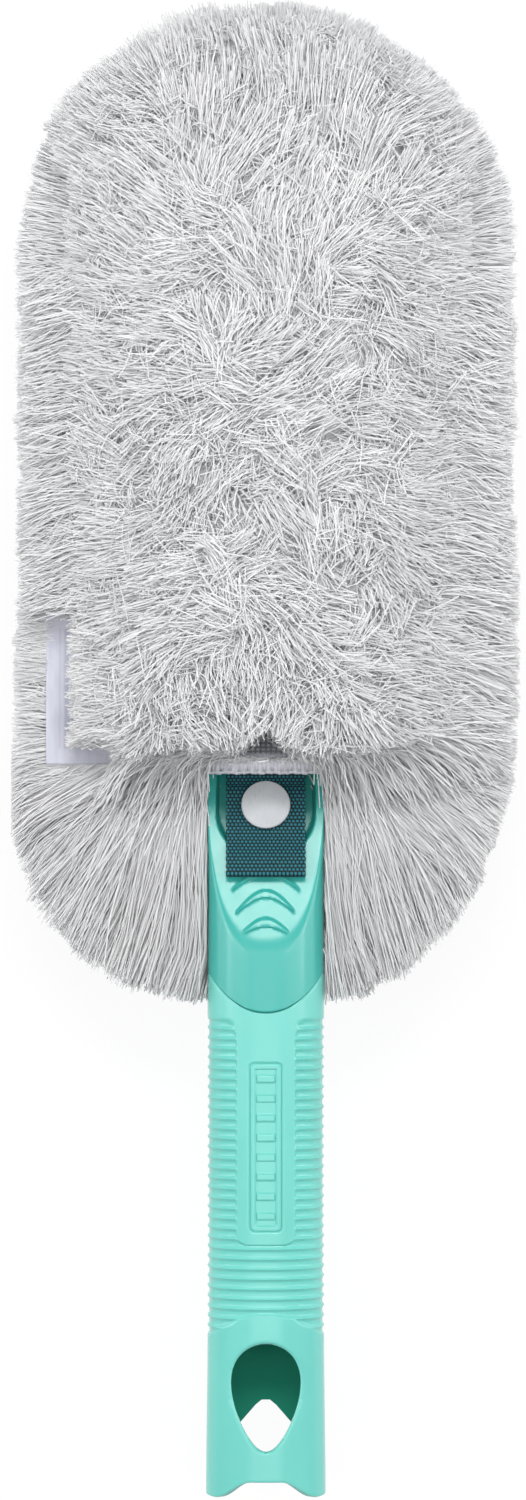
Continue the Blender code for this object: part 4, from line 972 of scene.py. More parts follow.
    def carpet(self):
        """Short locks that lie over the undercoat this way and that, and hide it."""
        turn, y, bend = self.places()
        upright = np.abs(np.cos(turn) * np.cos(bend))
        turn, y, bend, upright = (part[upright > 0.25] for part in (turn, y, bend, upright))
        count = len(turn)
        random, root = self.random, self.roots(turn, y, bend)
        reach = self.tips(turn, y, bend) - root
        out = unit(reach)
        way = random.normal(0, 1, (count, 3))
        way = unit(way - out * (way * out).sum(-1, keepdims=True))
        base = root + reach * random.uniform(0.58, 0.66, (count, 1)) - way * CARPET_BACK
        end = root + reach * random.uniform(0.78, 0.90, (count, 1))
        end = end + way * random.uniform(*CARPET_AHEAD, (count, 1))
        curves = (base, base + reach * 0.14, end - way * CARPET_TURN + reach * 0.03, end,
                  self.facing(turn, bend))
        return self.share_of(y, bend), upright, curves

    def apron(self):
        """Locks that lie over the rim, from the fabric's edge out to the trimmed outline."""
        count, random = APRON_COUNT, self.random
        share = (np.arange(count) + random.uniform(0, 1, count)) / count
        turn = np.where(random.random(count) < 0.5, -np.pi / 2, np.pi / 2)
        y, bend = self.station(share)
        root, tip = self.roots(turn, y, bend), self.tips(turn, y, bend)
        depth = random.uniform(0, 1, count) ** 1.4
        root[:, 2] += mix(*APRON_ROOT_LEVELS, depth)
        tip[:, 2] += mix(*APRON_TIP_LEVELS, depth)
        reach = tip - root
        length, out = length_of(reach), unit(reach)
        across = np.stack([-out[:, 1], out[:, 0], np.zeros(count)], -1)
        sway = self.flow_x(tip)[:, None] * 0.11 + random.normal(0, 0.085, (count, 1))
        shorter = 1.03 - random.uniform(0, 0.07, (count, 1))
        end = root + reach * shorter + across * sway * length
        lift = UP * length * mix(0.10, 0.0, depth)[:, None]
        bow = across * length * random.normal(0, 0.07, (count, 1))
        second = end - reach * 0.33 + lift * 0.6 + across * sway * length * 0.3
        return share, (root, root + reach * 0.33 + lift + bow, second, end,
                       self.rim_facing(turn, bend))

    def overlap(self):
        """Locks from the dome's edge that lie on over the rim and the foot beyond it."""
        count, random = OVERLAP_COUNT, self.random
        share = random.uniform(0, 1, count) ** 1.5 * OVERLAP_END_SHARE
        side = np.where(random.random(count) < 0.5, -1.0, 1.0)
        turn = side * np.radians(random.uniform(*OVERLAP_TURNS, count))
        y, bend = self.station(share)
        root, tip = self.roots(turn, y, bend), self.tips(turn, y, bend)
        out = self.facing(turn, bend) * np.array([1.0, 1.0, 0.0])
        out = out + np.array([0.0, -0.35, 0.0]) + random.normal(0, 0.22, (count, 3))
        out[:, 2] = 0.0
        out = unit(out)
        end = tip + out * random.uniform(*OVERLAP_RUN, (count, 1))
        end[:, 2] = mix(end[:, 2], OVERLAP_LEVEL, random.uniform(0.35, 1.0, count))
        return (root, root + (tip - root) * 0.35 + UP * OVERLAP_ROOT_RISE,
                tip - out * OVERLAP_BACK + UP * OVERLAP_TIP_RISE, end, self.rim_facing(turn, bend))

    def fringe(self):
        """Locks from the panel's foot that hang out over the ends of the hem."""
        count, random = FRINGE_COUNT, self.random
        side = np.where(random.random(count) < 0.5, -1.0, 1.0)
        across = random.uniform(0.0, 1.0, count)
        y = HEM_TOP + random.uniform(*FRINGE_ABOVE_HEM, count)
        root = np.stack([side * mix(*FRINGE_X, across), y, np.full(count, FRONT_PANEL_OVER)], -1)
        run = random.uniform(*FRINGE_RUN, (count, 1))
        fall = mix(0.85, 0.45, across) + random.normal(0, 0.12, count)
        out = mix(0.30, 1.0, across) + random.normal(0, 0.16, count)
        way = unit(np.stack([side * out, -fall, -mix(0.10, 0.34, across)], -1))
        end = root + way * run + UP * FRINGE_TIP_RISE
        return (root, root + UP * FRINGE_ROOT_RISE + way * run * 0.22,
                end - unit(way - UP * 0.35) * run * 0.33, end, np.tile(UP, (count, 1)))

    def outside(self, points):
        """True past the outline that the pile is trimmed to, which is uneven by small tufts."""
        x, y, z = points[..., 0], points[..., 1], points[..., 2]
        narrow = np.where(x > 0, np.interp(y, TRIM_PLACES, TRIM_RIGHT),
                          np.interp(y, TRIM_PLACES, TRIM_LEFT))
        angle = np.arctan2(y - PARTING_Y, x)
        cell = angle * TRIM_CELLS + 1.3 * np.sin(angle * 23) + 0.8 * np.sin(angle * 41)
        cell = cell + 0.7 * np.sin(z * 330 + angle * 31)
        uneven = TRIM_UNEVEN * scattered(np.floor(cell) + self.side) - TRIM_SPARE
        half, end_reach, spread = self.half_width, self.end_reach, 1.0
        if self.side > 0:
            spread = smooth_step((y - SPREAD_START) / SPREAD_RUN)
            uneven = uneven + FRONT_UNEVEN * scattered(np.floor(cell / 3.3) + 0.5) * (1 - spread)
            half = mix(half, HEAD_WIDTH / 2, spread)
            end_reach = OVERALL_LENGTH - PILE_STRAIGHT_END
        uneven = uneven + TRIM_ROUND * (z / TRIM_DEPTH) ** 2 * spread
        far = np.maximum(y - PILE_STRAIGHT_END, 0) / (end_reach - uneven)
        near = np.maximum(self.shed - y, 0) / (self.foot_reach + TRIM_SPARE - uneven)
        tight = FOOT_TIGHT_SHARE * smooth_step(near * 1.3) * smooth_step(3.2 - near * 2.6) * (x > 0)
        wide = np.abs(x) / ((half - narrow - uneven) * (1 - tight))
        end = wide ** OUTLINE_POWER + far ** 2
        foot = wide ** FOOT_POWER + near ** FOOT_POWER
        return np.where(y > self.shed, end, foot) > 1

    def settle(self, lines, radius):
        """Keeps strands off the floor and off the sleeve's fabric."""
        half = HEAD_WIDTH / 2
        lines[..., 0] = np.clip(lines[..., 0], -half, half)
        lines[..., 1] = np.minimum(lines[..., 1], OVERALL_LENGTH)
        lines[..., 2] = np.clip(lines[..., 2], -REST_HEIGHT + radius, PILE_TOP)
        x, y, z = lines[..., 0], lines[..., 1], lines[..., 2]
        past_foot = y < HEM_FOOT - HEM_MARGIN
        over_panel = (np.abs(x) < PANEL_WIDTH / 2 + PANEL_MARGIN) & (y > HEM_FOOT - HEM_MARGIN)
        from_corner = np.hypot(np.maximum(np.abs(x) - PANEL_WIDTH / 2 + PANEL_CORNER, 0),
                               np.maximum(y - PANEL_TOP + PANEL_CORNER, 0))
        over_panel &= from_corner < PANEL_CORNER + PANEL_MARGIN
        if self.side < 0:
            by_label = (x < LABEL_INNER_X) & (x > LABEL_OUTER_X - LABEL_ROOM)
            by_label &= (y > LABEL_FOOT - LABEL_ROOM) & (y < LABEL_FOOT + LABEL_LENGTH + LABEL_ROOM)
            top = np.where(over_panel, REAR_PANEL_UNDER, REAR_TOP)
            top = np.where(by_label, LABEL_LIFT - HEM_MARGIN, top)
            taper = smooth_step((y - REAR_TAPER_START) / (REAR_TAPER_END - REAR_TAPER_START))
            by_neck = (np.abs(x) < GRIP_WIDTH / 2 + radius) & (y < HEM_FOOT)
            under_neck = -mix(GRIP_DEPTH / 2, BLADE_UNDER, taper) - radius
            lines[..., 2] = np.minimum(z, np.where(by_neck, under_neck, top))
        else:
            floor = np.where(y < HEM_TOP, FRONT_HEM_OVER, FRONT_PANEL_OVER)
            low = np.where(past_foot, FRONT_FOOT_LEVEL, FRONT_RIM_LEVEL)
            lines[..., 2] = np.maximum(z, np.where(over_panel, floor, low) + radius)
        return lines


def scattered(cells):
    """A number from 0 to 1 for each cell, which differs from its neighbours'."""
    wave = np.sin(cells * 12.9898) * 43758.5453
    return wave - np.floor(wave)


def blocked(points, slack):
    """True where the front pile leaves the label, the strap, the snap and the hem's middle free,
    less by a slack that differs from strand to strand."""
    x, y = points[..., 0], points[..., 1]
    past_label = x - LABEL_OUTER_X + slack
    by_label = (y > LABEL_FOOT - LABEL_MARGIN)
    by_label &= (y < LABEL_FOOT + LABEL_LENGTH + LABEL_MARGIN - slack)
    foot = (past_label < LABEL_FOOT_SHOWN) & (y < LABEL_FOOT + LABEL_FOOT_HEIGHT - slack)
    strap = (np.abs(x) < STRAP_SHOWN_HALF - slack) & (y < HEM_TOP - slack)
    above = y - HEM_TOP
    knit = np.abs(x) < KNIT_SHOWN_HALF * (1 - above / KNIT_SHOWN_HEIGHT) - slack
    return by_label & ((past_label < LABEL_SHOWN) | foot) | strap | knit & (above > -LABEL_MARGIN)


def bezier(curves, shares):
    """Points of cubic curves, at a row of shares for each."""
    t = shares[..., None]
    a, b, c, d = (part[:, None, :] for part in curves)
    return a * (1 - t) ** 3 + 3 * b * t * (1 - t) ** 2 + 3 * c * t ** 2 * (1 - t) + d * t ** 3


def drawn_lines(pile, curves, outline):
    """The curves as lines, cut off at a pile's outline and before a place that stays free, and
    which of them are left."""
    count = len(curves[0])
    places = bezier(curves, np.tile(np.linspace(0, 1, PROBES), (count, 1)))
    hits = outline.outside(places)
    if pile.side > 0:
        slack = np.minimum(pile.random.normal(0, 1, (count, 1)) ** 2 * SLACK, MOST_SLACK)
        hits |= blocked(places, slack)
    first_hit = np.where(hits.any(axis=1), hits.argmax(axis=1), PROBES)
    last = np.clip((first_hit - pile.random.uniform(0.6, 1.6, count)) / (PROBES - 1), 0, 1)
    keep = last > 0.3
    shares = np.linspace(0, 1, STRAND_STEPS)[None, :] * last[keep][:, None]
    return pile.settle(bezier([part[keep] for part in curves], shares), STRAND_RADIUS), keep


def tubes(lines, radii):
    """Blunt tubes round lines: points, triangles, each point's place on its strand, and the ways
    out of the strand."""
    count, steps = lines.shape[:2]
    sides = STRAND_SIDES
    tangent = unit(np.gradient(lines, axis=1))
    plane = np.cross(lines[:, -1] - lines[:, 0], lines[:, steps // 2] - lines[:, 0])
    plane[np.linalg.norm(plane, axis=1) < 1e-8] = (1.0, 0.3, 0.2)
    first = unit(np.cross(tangent, unit(plane)[:, None, :]))
    second = np.cross(tangent, first)
    turns = np.arange(sides) * 2 * np.pi / sides
    around = (np.cos(turns)[None, None, :, None] * first[:, :, None, :]
              + np.sin(turns)[None, None, :, None] * second[:, :, None, :])
    points = lines[:, :, None, :] + around * radii[:, :, None, None]
    place = np.stack([np.tile(np.cos(turns), steps), np.tile(np.sin(turns), steps),
                      np.repeat(np.linspace(0, 1, steps), sides)], -1)
    triangles = halves(loft_faces(steps, sides, caps=False))
    last = (steps - 1) * sides
    caps = [(0, 2, 1), (last, last + 1, last + 2)]
    triangles = np.concatenate([triangles, caps])
    stacked = triangles[None] + (np.arange(count) * steps * sides)[:, None, None]
    return (points.reshape(-1, 3), stacked.reshape(-1, 3), np.tile(place, (count, 1)),
            around.reshape(-1, 3))


def halves(quads):
    quads = np.array(quads)
    return np.concatenate([quads[:, [0, 1, 2]], quads[:, [0, 2, 3]]])


def undercoat(pile, low, high):
    """A dense lumpy mass between two stations, which the strands grow through, painted darker as the
    shade inside the pile.
    """
    rows = max(int((high - low) * 110), 4)
    turn, share = np.meshgrid(np.linspace(-np.pi / 2, np.pi / 2, COAT_COLUMNS),
                              np.linspace(low, high, rows))
    y, bend = pile.station(share)
    root, tip = pile.roots(turn, y, bend), pile.tips(turn, y, bend)
    lump = COAT_LUMP_SHARE * pile.swell(tip + np.array([0.5, 0.2, 0.0])) * np.cos(turn)
    level = FRONT_COAT_SHARE if pile.side > 0 else REAR_COAT_SHARE
    points = mix(root, tip, level + lump[..., None])
    if pile.side < 0:
        points = np.concatenate([points, coat_top(root, tip, -1), coat_top(root, tip, 0)], axis=1)
    else:
        low_foot = smooth_step(1 - (points[..., 1] - HEM_FOOT) / COAT_FOOT_RUN)
        points[..., 1] += COAT_FOOT_RISE * low_foot
    points = pile.settle(points, COAT_SKIN)
    count = points.shape[1]
    across = np.tile(np.arange(count) * 0.7, (rows, 1))
    along = np.tile(np.linspace(low, high, rows)[:, None] * 60, (1, count))
    # a low place along a strand paints the undercoat darker, as shade inside the pile
    place = np.stack([across, along, np.full_like(across, 0.08)], -1).reshape(-1, 3)
    points = points.reshape(-1, 3)
    triangles = halves(loft_faces(rows, count, caps=False))
    corners = points[triangles]
    faces = np.cross(corners[:, 1] - corners[:, 0], corners[:, 2] - corners[:, 0])
    normals = np.zeros_like(points)
    for corner in range(3):
        np.add.at(normals, triangles[:, corner], faces)
    fans = []
    for base, way in ((0, -1), ((rows - 1) * count, 1)):
        fans += [(base, base + column, base + column + 1)[::way] for column in range(1, count - 1)]
    triangles = np.concatenate([triangles, fans])[:, ::pile.side]
    # a low tint paints it darker than most strands, as shade
    return points, triangles, place, np.full(len(points), 0.15), unit(normals * 1e6) * pile.side


def coat_top(root, tip, column):
    """The upper side of the rear undercoat, from its rim in to the fabric's edge or back."""
    line = []
    for share, height in (COAT_TOP if column == -1 else COAT_TOP[::-1]):
        point = mix(root[:, column], tip[:, column], share)
        point[:, 2] = height
        line.append(point)
    return np.stack(line, axis=1)


def join(parts):
    """One set of points, triangles, places, tints and normals from several."""
    offsets = np.cumsum([0] + [len(part[0]) for part in parts[:-1]])
    triangles = np.concatenate([part[1] + offset for part, offset in zip(parts, offsets)])
    points, *others = (np.concatenate([part[i] for part in parts]) for i in (0, 2, 3, 4))
    return points, triangles, *others


def strands_of(pile, locks, crowd, upright, outline):
    """Fine strands round the chosen locks, cut off at a pile's outline."""
    random = pile.random
    lock_count = len(locks[0])
    index = np.arange(lock_count).repeat(crowd)
    count = len(index)
    loose = random.uniform(0.55, 1.35, lock_count)[index][:, None]
    spread_root = random.normal(0, ROOT_SPREAD, (count, 3)) * np.array([1, 1, 0.2])
    spread_tip = random.normal(0, TIP_SPREAD, (count, 3)) * loose
    spread_tip *= np.where(random.random((count, 1)) < 0.07, 2.2, 1.0)
    standing = upright[index][:, None]
    curl = random.normal(0, STRAND_CURL, (count, 3)) * mix(0.35, 1.0, standing)
    length_share = 1 - random.uniform(0, 0.10, (count, 1)) * mix(0.4, 1.0, standing)
    root, first, second, end, facing = (part[index] for part in locks)
    reach = end - root
    aside = unit(np.cross(reach, facing)) * length_of(reach)
    wave = aside * random.normal(0, WAVE_SHARE, (lock_count, 1))[index]
    root = root + spread_root
    curves = (root, first + wave + spread_root + curl * 0.5,
              second - wave + spread_tip * 0.6 + curl, mix(root, end + spread_tip, length_share))
    lines, keep = drawn_lines(pile, curves, outline)
    thick = STRAND_RADIUS * random.uniform(0.75, 1.30, (len(lines), 1))
    points, triangles, place, around = tubes(lines, thick * np.linspace(1.0, 0.80, STRAND_STEPS))
    ring = STRAND_STEPS * STRAND_SIDES
    normals = unit(mix(around, facing[keep].repeat(ring, axis=0), FACING_SHARE))
    of_lock = scattered(index[keep] * 0.731 + lock_count)
    tint = mix(of_lock, random.random(len(lines)), 0.35)
    return points, triangles, place, tint.repeat(ring), normals


def build_pile(pile, straight_rows, material, rim_pile):
    """The pile in the slices of the part's solids: locks, carpet, and what lies over the rim."""
    front = pile.side > 0
    share, upright, locks = pile.locks()
    low_share, low_upright, low_locks = pile.carpet()
    rim_share, rim = (None, None) if front else pile.apron()
    done = np.cumsum(straight_rows) / sum(straight_rows)
    bounds = [0.0, *((pile.foot_arc + pile.stretched * done) / pile.total), 1.0]
    few, many = (FRONT_FEW, FRONT_MANY) if front else (REAR_FEW, REAR_FEW)
    for number, (low, high) in enumerate(zip(bounds, bounds[1:])):
        def within(shares):
            return (shares >= low) & (shares < high + (high == 1.0))
        chosen = within(share)
        level = upright[chosen]
        crowd = np.where(level > 0.30, many, few)
        groups = [([part[chosen] for part in locks], crowd, level, pile)]
        chosen = within(low_share)
        crowd = np.full(chosen.sum(), FRONT_CARPET if front else REAR_CARPET)
        groups.append(([part[chosen] for part in low_locks], crowd, low_upright[chosen], pile))
        extras = []
        if not front:
            extras = [([part[within(rim_share)] for part in rim], RIM_CROWD, pile)]
        elif number == 0:
            extras = [(pile.fringe(), FRINGE_CROWD, rim_pile),
                      (pile.overlap(), OVERLAP_CROWD, rim_pile)]
        for extra, crowd, outline in extras:
            count = len(extra[0])
            groups.append((extra, np.full(count, crowd), np.zeros(count), outline))
        parts = []
        for curves, crowd, level, outline in groups:
            ends = np.cumsum(crowd)
            for start in range(0, ends[-1] + 1, BATCH):
                inside = (ends > start) & (ends <= start + BATCH)
                if inside.any():
                    parts.append(strands_of(pile, [part[inside] for part in curves],
                                            crowd[inside], level[inside], outline))
        parts.append(undercoat(pile, low, high))
        write_parts(pile.name + "_" + str(number + 1), parts, material)


def write_parts(node, parts, material):
    """One solid's strands as pieces of a fair size."""
    held, letters = [], iter("abcdefghijklmnopqrstuvwxyz")
    sizes = [len(part[1]) for part in parts] + [MOST_TRIANGLES]
    for part, after in zip(parts, sizes[1:]):
        held.append(part)
        if sum(len(each[1]) for each in held) + after > MOST_TRIANGLES:
            points, triangles, places, tints, normals = join(held)
            triangle_piece(node + "_strands_" + next(letters), points, triangles, normals,
                           material, "pile", [node], strand=places, tint=tints)
            held = []


# Materials

def grey(level):
    return level, level, level, 1.0


class Surface:
    """A node material with helpers that add its parts. A value is a number, a colour or what
    another node gives."""

    def __init__(self, name, roughness, specular=0.5, sheen=0.0):
        self.material = bpy.data.materials.new(name)
        self.material.use_nodes = True
        self.tree = self.material.node_tree
        self.shader = self.tree.nodes["Principled BSDF"]
        self.set(self.shader, {"Roughness": roughness, "Specular IOR Level": specular,
                               "Sheen Weight": sheen})
        self.place = self.node("TexCoord").outputs["Object"]

    def set(self, node, values):
        for key, value in values.items():
            if isinstance(value, bpy.types.NodeSocket):
                self.tree.links.new(value, node.inputs[key])
            else:
                node.inputs[key].default_value = value

    def node(self, kind, values=None, **settings):
        node = self.tree.nodes.new("ShaderNode" + kind)
        for key, value in settings.items():
            setattr(node, key, value)
        self.set(node, values or {})
        return node

    def stretched(self, place, scale):
        return self.node("Mapping", {"Vector": place, "Scale": scale}).outputs["Vector"]

    def noise(self, scale, detail, stretch=None):
        place = self.stretched(self.place, stretch) if stretch else self.place
        values = {"Scale": scale, "Detail": detail, "Vector": place}
        return self.node("TexNoise", values).outputs["Fac"]

    def attribute(self, name):
        return self.node("Attribute", attribute_name=name).outputs["Fac"]

    def ramp(self, value, *stops):
        node = self.node("ValToRGB", {"Fac": value})
        elements = node.color_ramp.elements
        while len(elements) < len(stops):
            elements.new(0.5)
        for element, (place, colour) in zip(elements, stops):
            element.position = place
            element.color = (*colour[:3], 1.0)
        return node.outputs["Color"]

    def speckle(self, scale, low_colour, high_colour, detail=3.0, stretch=None, low=0.3, high=0.7):
        value = self.noise(scale, detail, stretch)
        return self.ramp(value, (low, low_colour), (high, high_colour))

    def blend(self, first, second, share=1.0, kind="MULTIPLY"):
        node = self.node("Mix", data_type="RGBA", blend_type=kind)
        self.set(node, {"Factor": share, "A": first, "B": second})
        return node.outputs["Result"]

    def map(self, value, low, high, to_low, to_high):
        return self.node("MapRange", {"Value": value, "From Min": low, "From Max": high,
                                      "To Min": to_low, "To Max": to_high}).outputs["Result"]

    def math(self, kind, first, second):
        return self.node("Math", {0: first, 1: second}, operation=kind).outputs["Value"]

    def finish(self, colour, relief, strength, height, roughness=None):
        """Colour, bump and roughness of the shader."""
        bump = self.node("Bump", {"Strength": strength, "Distance": height, "Height": relief})
        self.set(self.shader, {"Base Color": colour, "Normal": bump.outputs["Normal"]})
        if roughness:
            self.set(self.shader, {"Roughness": roughness})
        return self.material

    def show(self, first, second, share):
        """Shows a mix of two shaders."""
        mixer = self.node("MixShader", {0: share, 1: first, 2: second})
        self.set(self.tree.nodes["Material Output"], {"Surface": mixer.outputs["Shader"]})


WHITE = grey(1.0)


def moulded(name, light, dark, rough_low, rough_high, grain_scale, grain_height, inner=None):
    """Moulded plastic: faint flow marks, handling wear in the gloss and a fine grain, and painted
    shade: a darker colour on the inside of a hollow."""
    surface = Surface(name, 0.4)
    colour = surface.speckle(60.0, dark, light, 4.0, (1.0, 0.35, 1.0))
    rough = surface.map(surface.noise(170.0, 5.0), 0.3, 0.7, rough_low, rough_high)
    # painted shade: the walls of the grip's cavity are coloured darker for the shadow in the hollow
    if inner:
        inside = surface.attribute("inside")
        colour = surface.blend(colour, (*inner, 1.0), inside, "MIX")
        rough = surface.math("ADD", rough, surface.math("MULTIPLY", inside, 0.6))
    return surface.finish(colour, surface.noise(grain_scale, 2.0), 0.25, grain_height, rough)


def webbing_material():
    surface = Surface("webbing_weave", 0.62, specular=0.25, sheen=0.04)
    # painted shade: the weave's gaps are coloured near black and its crowns light, by each bead's
    # height
    base = surface.ramp(surface.attribute("lift"), (0.0, (0.0003, 0.001, 0.002)),
                        (0.60, (0.0016, 0.012, 0.016)), (0.96, (0.018, 0.185, 0.225)))
    fleck = surface.speckle(900.0, (0.80, 0.82, 0.84), WHITE)
    return surface.finish(surface.blend(base, fleck), surface.noise(5200.0, 2.0, (1.0, 0.25, 1.0)),
                          0.5, 0.00008, surface.map(surface.noise(700.0, 2.0), 0.3, 0.7, 0.52, 0.72))


def pile_material():
    """White microfibre: filaments along each strand, light that passes through, and painted shade
    that darkens the roots and the undercoat.
    """
    surface = Surface("pile_strands", 0.6, specular=0.25, sheen=0.2)
    strand = surface.node("Attribute", attribute_name="strand").outputs["Vector"]
    parts = surface.node("SeparateXYZ", {"Vector": strand})
    tint = surface.attribute("tint")
    # painted shade: darker towards each strand's root and on the undercoat, where the pile shades
    # itself
    along = surface.ramp(parts.outputs["Z"], (0.0, (0.72, 0.725, 0.74)), (0.2, (0.960, 0.963, 0.970)),
                         (1.0, (0.985, 0.987, 0.990)))
    filament = surface.node("TexNoise", noise_dimensions="4D")
    surface.set(filament, {"Scale": 2.6, "Detail": 3.0,
                           "Vector": surface.stretched(strand, (1.0, 1.0, 0.6)),
                           "W": surface.math("MULTIPLY", tint, 57.0)})
    streak = surface.ramp(filament.outputs["Fac"], (0.30, (0.965, 0.966, 0.970)), (0.62, WHITE))
    shade = surface.speckle(26.0, (0.985, 0.986, 0.988), WHITE, low=0.32, high=0.68)
    strands = surface.ramp(tint, (0.12, (0.87, 0.875, 0.885)), (0.60, (0.98, 0.981, 0.985)),
                           (1.0, WHITE))
    colour = surface.blend(surface.blend(surface.blend(along, streak), shade), strands)
    material = surface.finish(colour, filament.outputs["Fac"], 0.6, 0.0003,
                              surface.map(surface.noise(1500.0, 2.0), 0.3, 0.7, 0.5, 0.7))
    glow = surface.node("BsdfTranslucent", {"Color": colour})
    surface.show(surface.shader.outputs["BSDF"], glow.outputs["BSDF"], 0.20)
    return material


def hem_material():
    surface = Surface("overlock_thread", 0.7, specular=0.3, sheen=0.2)
    # painted shade: each stitch is coloured dark in the grooves beside it and light on its crown
    base = surface.ramp(surface.attribute("lift"), (0.0, (0.32, 0.33, 0.38)),
                        (0.6, (0.80, 0.81, 0.87)))
    twist = surface.speckle(2400.0, (0.86, 0.86, 0.88), WHITE, 2.0, (1.0, 0.5, 1.0), 0.35, 0.65)
    return surface.finish(surface.blend(base, twist), surface.noise(4200.0, 2.0, (1.0, 0.4, 1.0)),
                          0.6, 0.0001)


def tape_material():
    """Plain woven tape for the seam."""
    surface = Surface("seam_thread", 0.75, specular=0.3, sheen=0.2)
    colour = surface.speckle(1200.0, (0.58, 0.59, 0.62), (0.80, 0.80, 0.82), low=0.35, high=0.65)
    return surface.finish(colour, surface.noise(3000.0, 2.0), 0.6, 0.0001)


def knit_material():
    """Grey knitted ground: columns of stitches with a cross line at each row, with painted shade that
    darkens their hollows.
    """
    surface = Surface("knit_ground", 0.9, specular=0.2, sheen=0.2)
    waves = []
    for direction, scale in (("X", 190.0), ("Y", 240.0)):
        node = surface.node("TexWave", {"Scale": scale, "Distortion": 0.8, "Detail Scale": 40.0,
                                        "Vector": surface.place}, bands_direction=direction)
        waves.append(node.outputs["Fac"])
    stitch = surface.math("MULTIPLY", *waves)
    # painted shade: the stitches' relief also sets the colour, dark in its hollows
    base = surface.ramp(stitch, (0.0, (0.20, 0.20, 0.22)), (0.5, (0.52, 0.52, 0.56)))
    fleck = surface.speckle(700.0, (0.85, 0.85, 0.86), WHITE)
    return surface.finish(surface.blend(base, fleck), stitch, 0.8, 0.0002)


def label_material():
    """White satin tape with a plain stripe and a hairline to each side, woven in."""
    surface = Surface("satin_tape", 0.42, specular=0.45, sheen=0.15)
    x, y = surface.attribute("label_x"), surface.attribute("label_y")
    def band(value, low, high, soft=0.00015):
        rise = surface.map(value, low - soft, low + soft, 0.0, 1.0)
        fall = surface.map(value, high - soft, high + soft, 1.0, 0.0)
        return surface.math("MULTIPLY", rise, fall)
    lines = surface.math("ADD", band(x, 0.0042, 0.0045, 0.0001), band(x, 0.0085, 0.0088, 0.0001))
    marks = surface.math("ADD", band(x, 0.0058, 0.0072), lines)
    marks = surface.math("MULTIPLY", marks, band(y, 0.005, 0.043))
    cloth = surface.speckle(420.0, (0.50, 0.51, 0.60), (0.59, 0.60, 0.69), 3.0, (1.0, 0.2, 1.0))
    weave = surface.node("TexWave", {"Scale": 900.0, "Vector": surface.place},
                         bands_direction="Y")
    return surface.finish(surface.blend(cloth, (0.45, 0.46, 0.55, 1.0), marks, "MIX"),
                          weave.outputs["Fac"], 0.35, 0.00005)


def button_material():
    surface = Surface("snap_plastic", 0.3)
    colour = surface.speckle(240.0, (0.39, 0.41, 0.43), (0.43, 0.45, 0.47))
    scuffs = surface.noise(1400.0, 4.0, (1.0, 0.2, 1.0))
    return surface.finish(colour, surface.noise(2600.0, 2.0), 0.15, 0.00003,
                          surface.map(scuffs, 0.35, 0.65, 0.24, 0.40))


def floor_material():
    """A plain pale floor that the camera sees as white, with the object's shadow on it."""
    surface = Surface("pale_floor", 0.9, specular=0.1)
    colour = surface.speckle(3.0, grey(0.90), grey(0.92), 2.0)
    surface.set(surface.shader, {"Base Color": colour})
    path = surface.node("LightPath").outputs
    seen = surface.math("MAXIMUM", path["Is Camera Ray"], path["Is Glossy Ray"])
    seen = surface.math("MAXIMUM", seen, path["Is Transmission Ray"])
    glow = surface.node("Emission", {"Strength": 1.0})
    surface.show(surface.shader.outputs["BSDF"], glow.outputs["Emission"],
                 surface.math("MULTIPLY", seen, 0.90))
    return surface.material


# Studio

def make_camera():
    data = bpy.data.cameras.new("camera")
    data.sensor_width = SENSOR_WIDTH
    data.lens = SENSOR_WIDTH * CAMERA_DISTANCE / VIEW_HEIGHT
    camera = new_object("camera", data)
    camera.location = (CAMERA_ASIDE, CAMERA_ASIDE, REST_HEIGHT + GRIP_DEPTH / 2 + CAMERA_DISTANCE)
    bpy.context.scene.camera = camera


def make_lamp(name, place, target, wide, tall, power):
    data = bpy.data.lights.new(name, "AREA")
    data.shape = "RECTANGLE"
    data.size = wide
    data.size_y = tall
    data.energy = power
    lamp = new_object(name, data)
    lamp.location = place
    lamp.rotation_euler = (Vector(target) - Vector(place)).to_track_quat("-Z", "Y").to_euler()


def make_studio():
    scene = bpy.context.scene
    scene.view_settings.view_transform = "Standard"
    world = bpy.data.worlds.new("studio")
    world.use_nodes = True
    scene.world = world
    tree = world.node_tree
    path = tree.nodes.new("ShaderNodeLightPath")
    fill = tree.nodes.new("ShaderNodeMapRange")
    fill.inputs["To Min"].default_value = WORLD_FILL
    fill.inputs["To Max"].default_value = 1.0
    back = tree.nodes["Background"]
    back.inputs["Color"].default_value = WHITE
    tree.links.new(path.outputs["Is Camera Ray"], fill.inputs["Value"])
    tree.links.new(fill.outputs["Result"], back.inputs["Strength"])
    make_lamp("key", (0.0, 0.66, 1.15), (0.0, 0.0, 0.05), 0.8, 0.32, 10.0)
    make_lamp("overhead", (0.0, -0.16, 1.9), (0.0, -0.16, 0.0), 0.9, 0.9, 5.6)
    for side, word in ((-1, "left"), (1, "right")):
        make_lamp("strip_" + word, (side * 0.86, -0.05, 1.20), (0.0, -0.05, 0.05), 0.10, 1.1, 4.0)
        make_lamp("side_" + word, (side * 1.30, 0.10, 0.50), (0.0, 0.05, 0.04), 0.5, 1.2, 6.0)


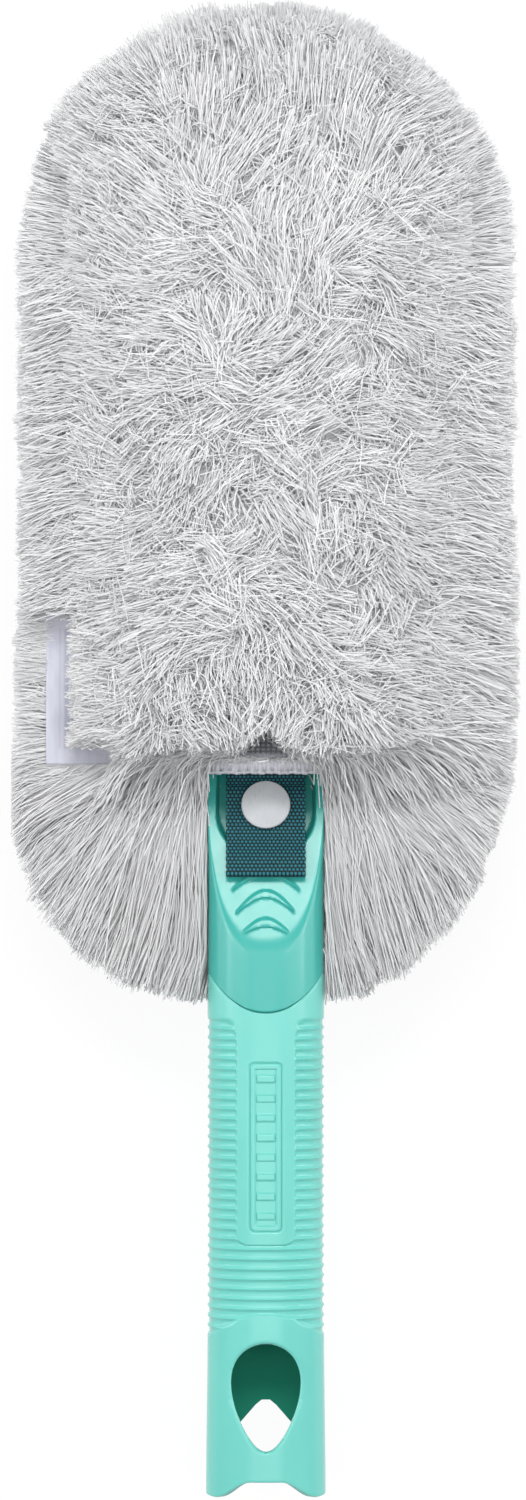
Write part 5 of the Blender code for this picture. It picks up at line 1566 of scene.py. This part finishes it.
def make_floor(material):
    mesh = bpy.data.meshes.new("floor")
    corners = [(x * FLOOR_HALF, y * FLOOR_HALF, 0.0) for x, y in ((-1, -1), (1, -1), (1, 1), (-1, 1))]
    mesh.from_pydata(corners, [], [(0, 1, 2, 3)])
    mesh.materials.append(material)
    new_object("floor", mesh)


def main():
    make_studio()
    make_camera()
    make_floor(floor_material())
    button, hem, strands = button_material(), hem_material(), pile_material()
    core = moulded("core_plastic", (0.62, 0.64, 0.64), (0.56, 0.58, 0.58), 0.45, 0.6, 1800.0,
                   0.00005)
    # the grip's inner colour is painted shade for its hollow
    build_grip(moulded("mint_plastic", (0.150, 0.550, 0.490), (0.138, 0.520, 0.460), 0.18, 0.26,
                       2400.0, 0.00002, inner=(0.003, 0.245, 0.160)))
    build_neck(moulded("neck_plastic", (0.042, 0.385, 0.340), (0.038, 0.370, 0.325), 0.20, 0.26,
                       3400.0, 0.00004))
    build_strap(webbing_material())
    build_cap(button)
    build_panels(knit_material())
    build_hem("front_hem", PANEL_WIDTH / 2, HEM_FOOT, HEM_HEIGHT, FRONT_PANEL_UNDER,
              FRONT_HEM_OVER, 1, hem)
    build_hem("rear_hem", PANEL_WIDTH / 2 - REAR_HEM_SETBACK, PANEL_FOOT, REAR_HEM_HEIGHT,
              REAR_PANEL_UNDER - CLEARANCE - HEM_THICKNESS, REAR_PANEL_OVER, -1, hem)
    build_seam(tape_material())
    build_label(label_material())
    for name, material in (("paddle", core), ("snap_stud", button), ("snap_socket", button)):
        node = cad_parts[name]
        node.data.materials.clear()
        node.data.materials.append(material)
    front = PileSide("front_pile", 1, FRONT_PILE_FOOT, FRONT_PILE_REACH,
                     FRONT_PILE_REACH + FRONT_SHED, FRONT_PILE_TOP, FRONT_PILE_WIDTH,
                     FRONT_PILE_HEIGHT, seed=11)
    rear = PileSide("rear_pile", -1, REAR_PILE_FOOT, REAR_PILE_REACH, PILE_STRAIGHT_START,
                    OVERALL_LENGTH, HEAD_WIDTH, REST_HEIGHT + REAR_PANEL_UNDER, seed=23)
    build_pile(front, (4, 4, 3), strands, rear)
    build_pile(rear, (3, 4, 4), strands, rear)


main()
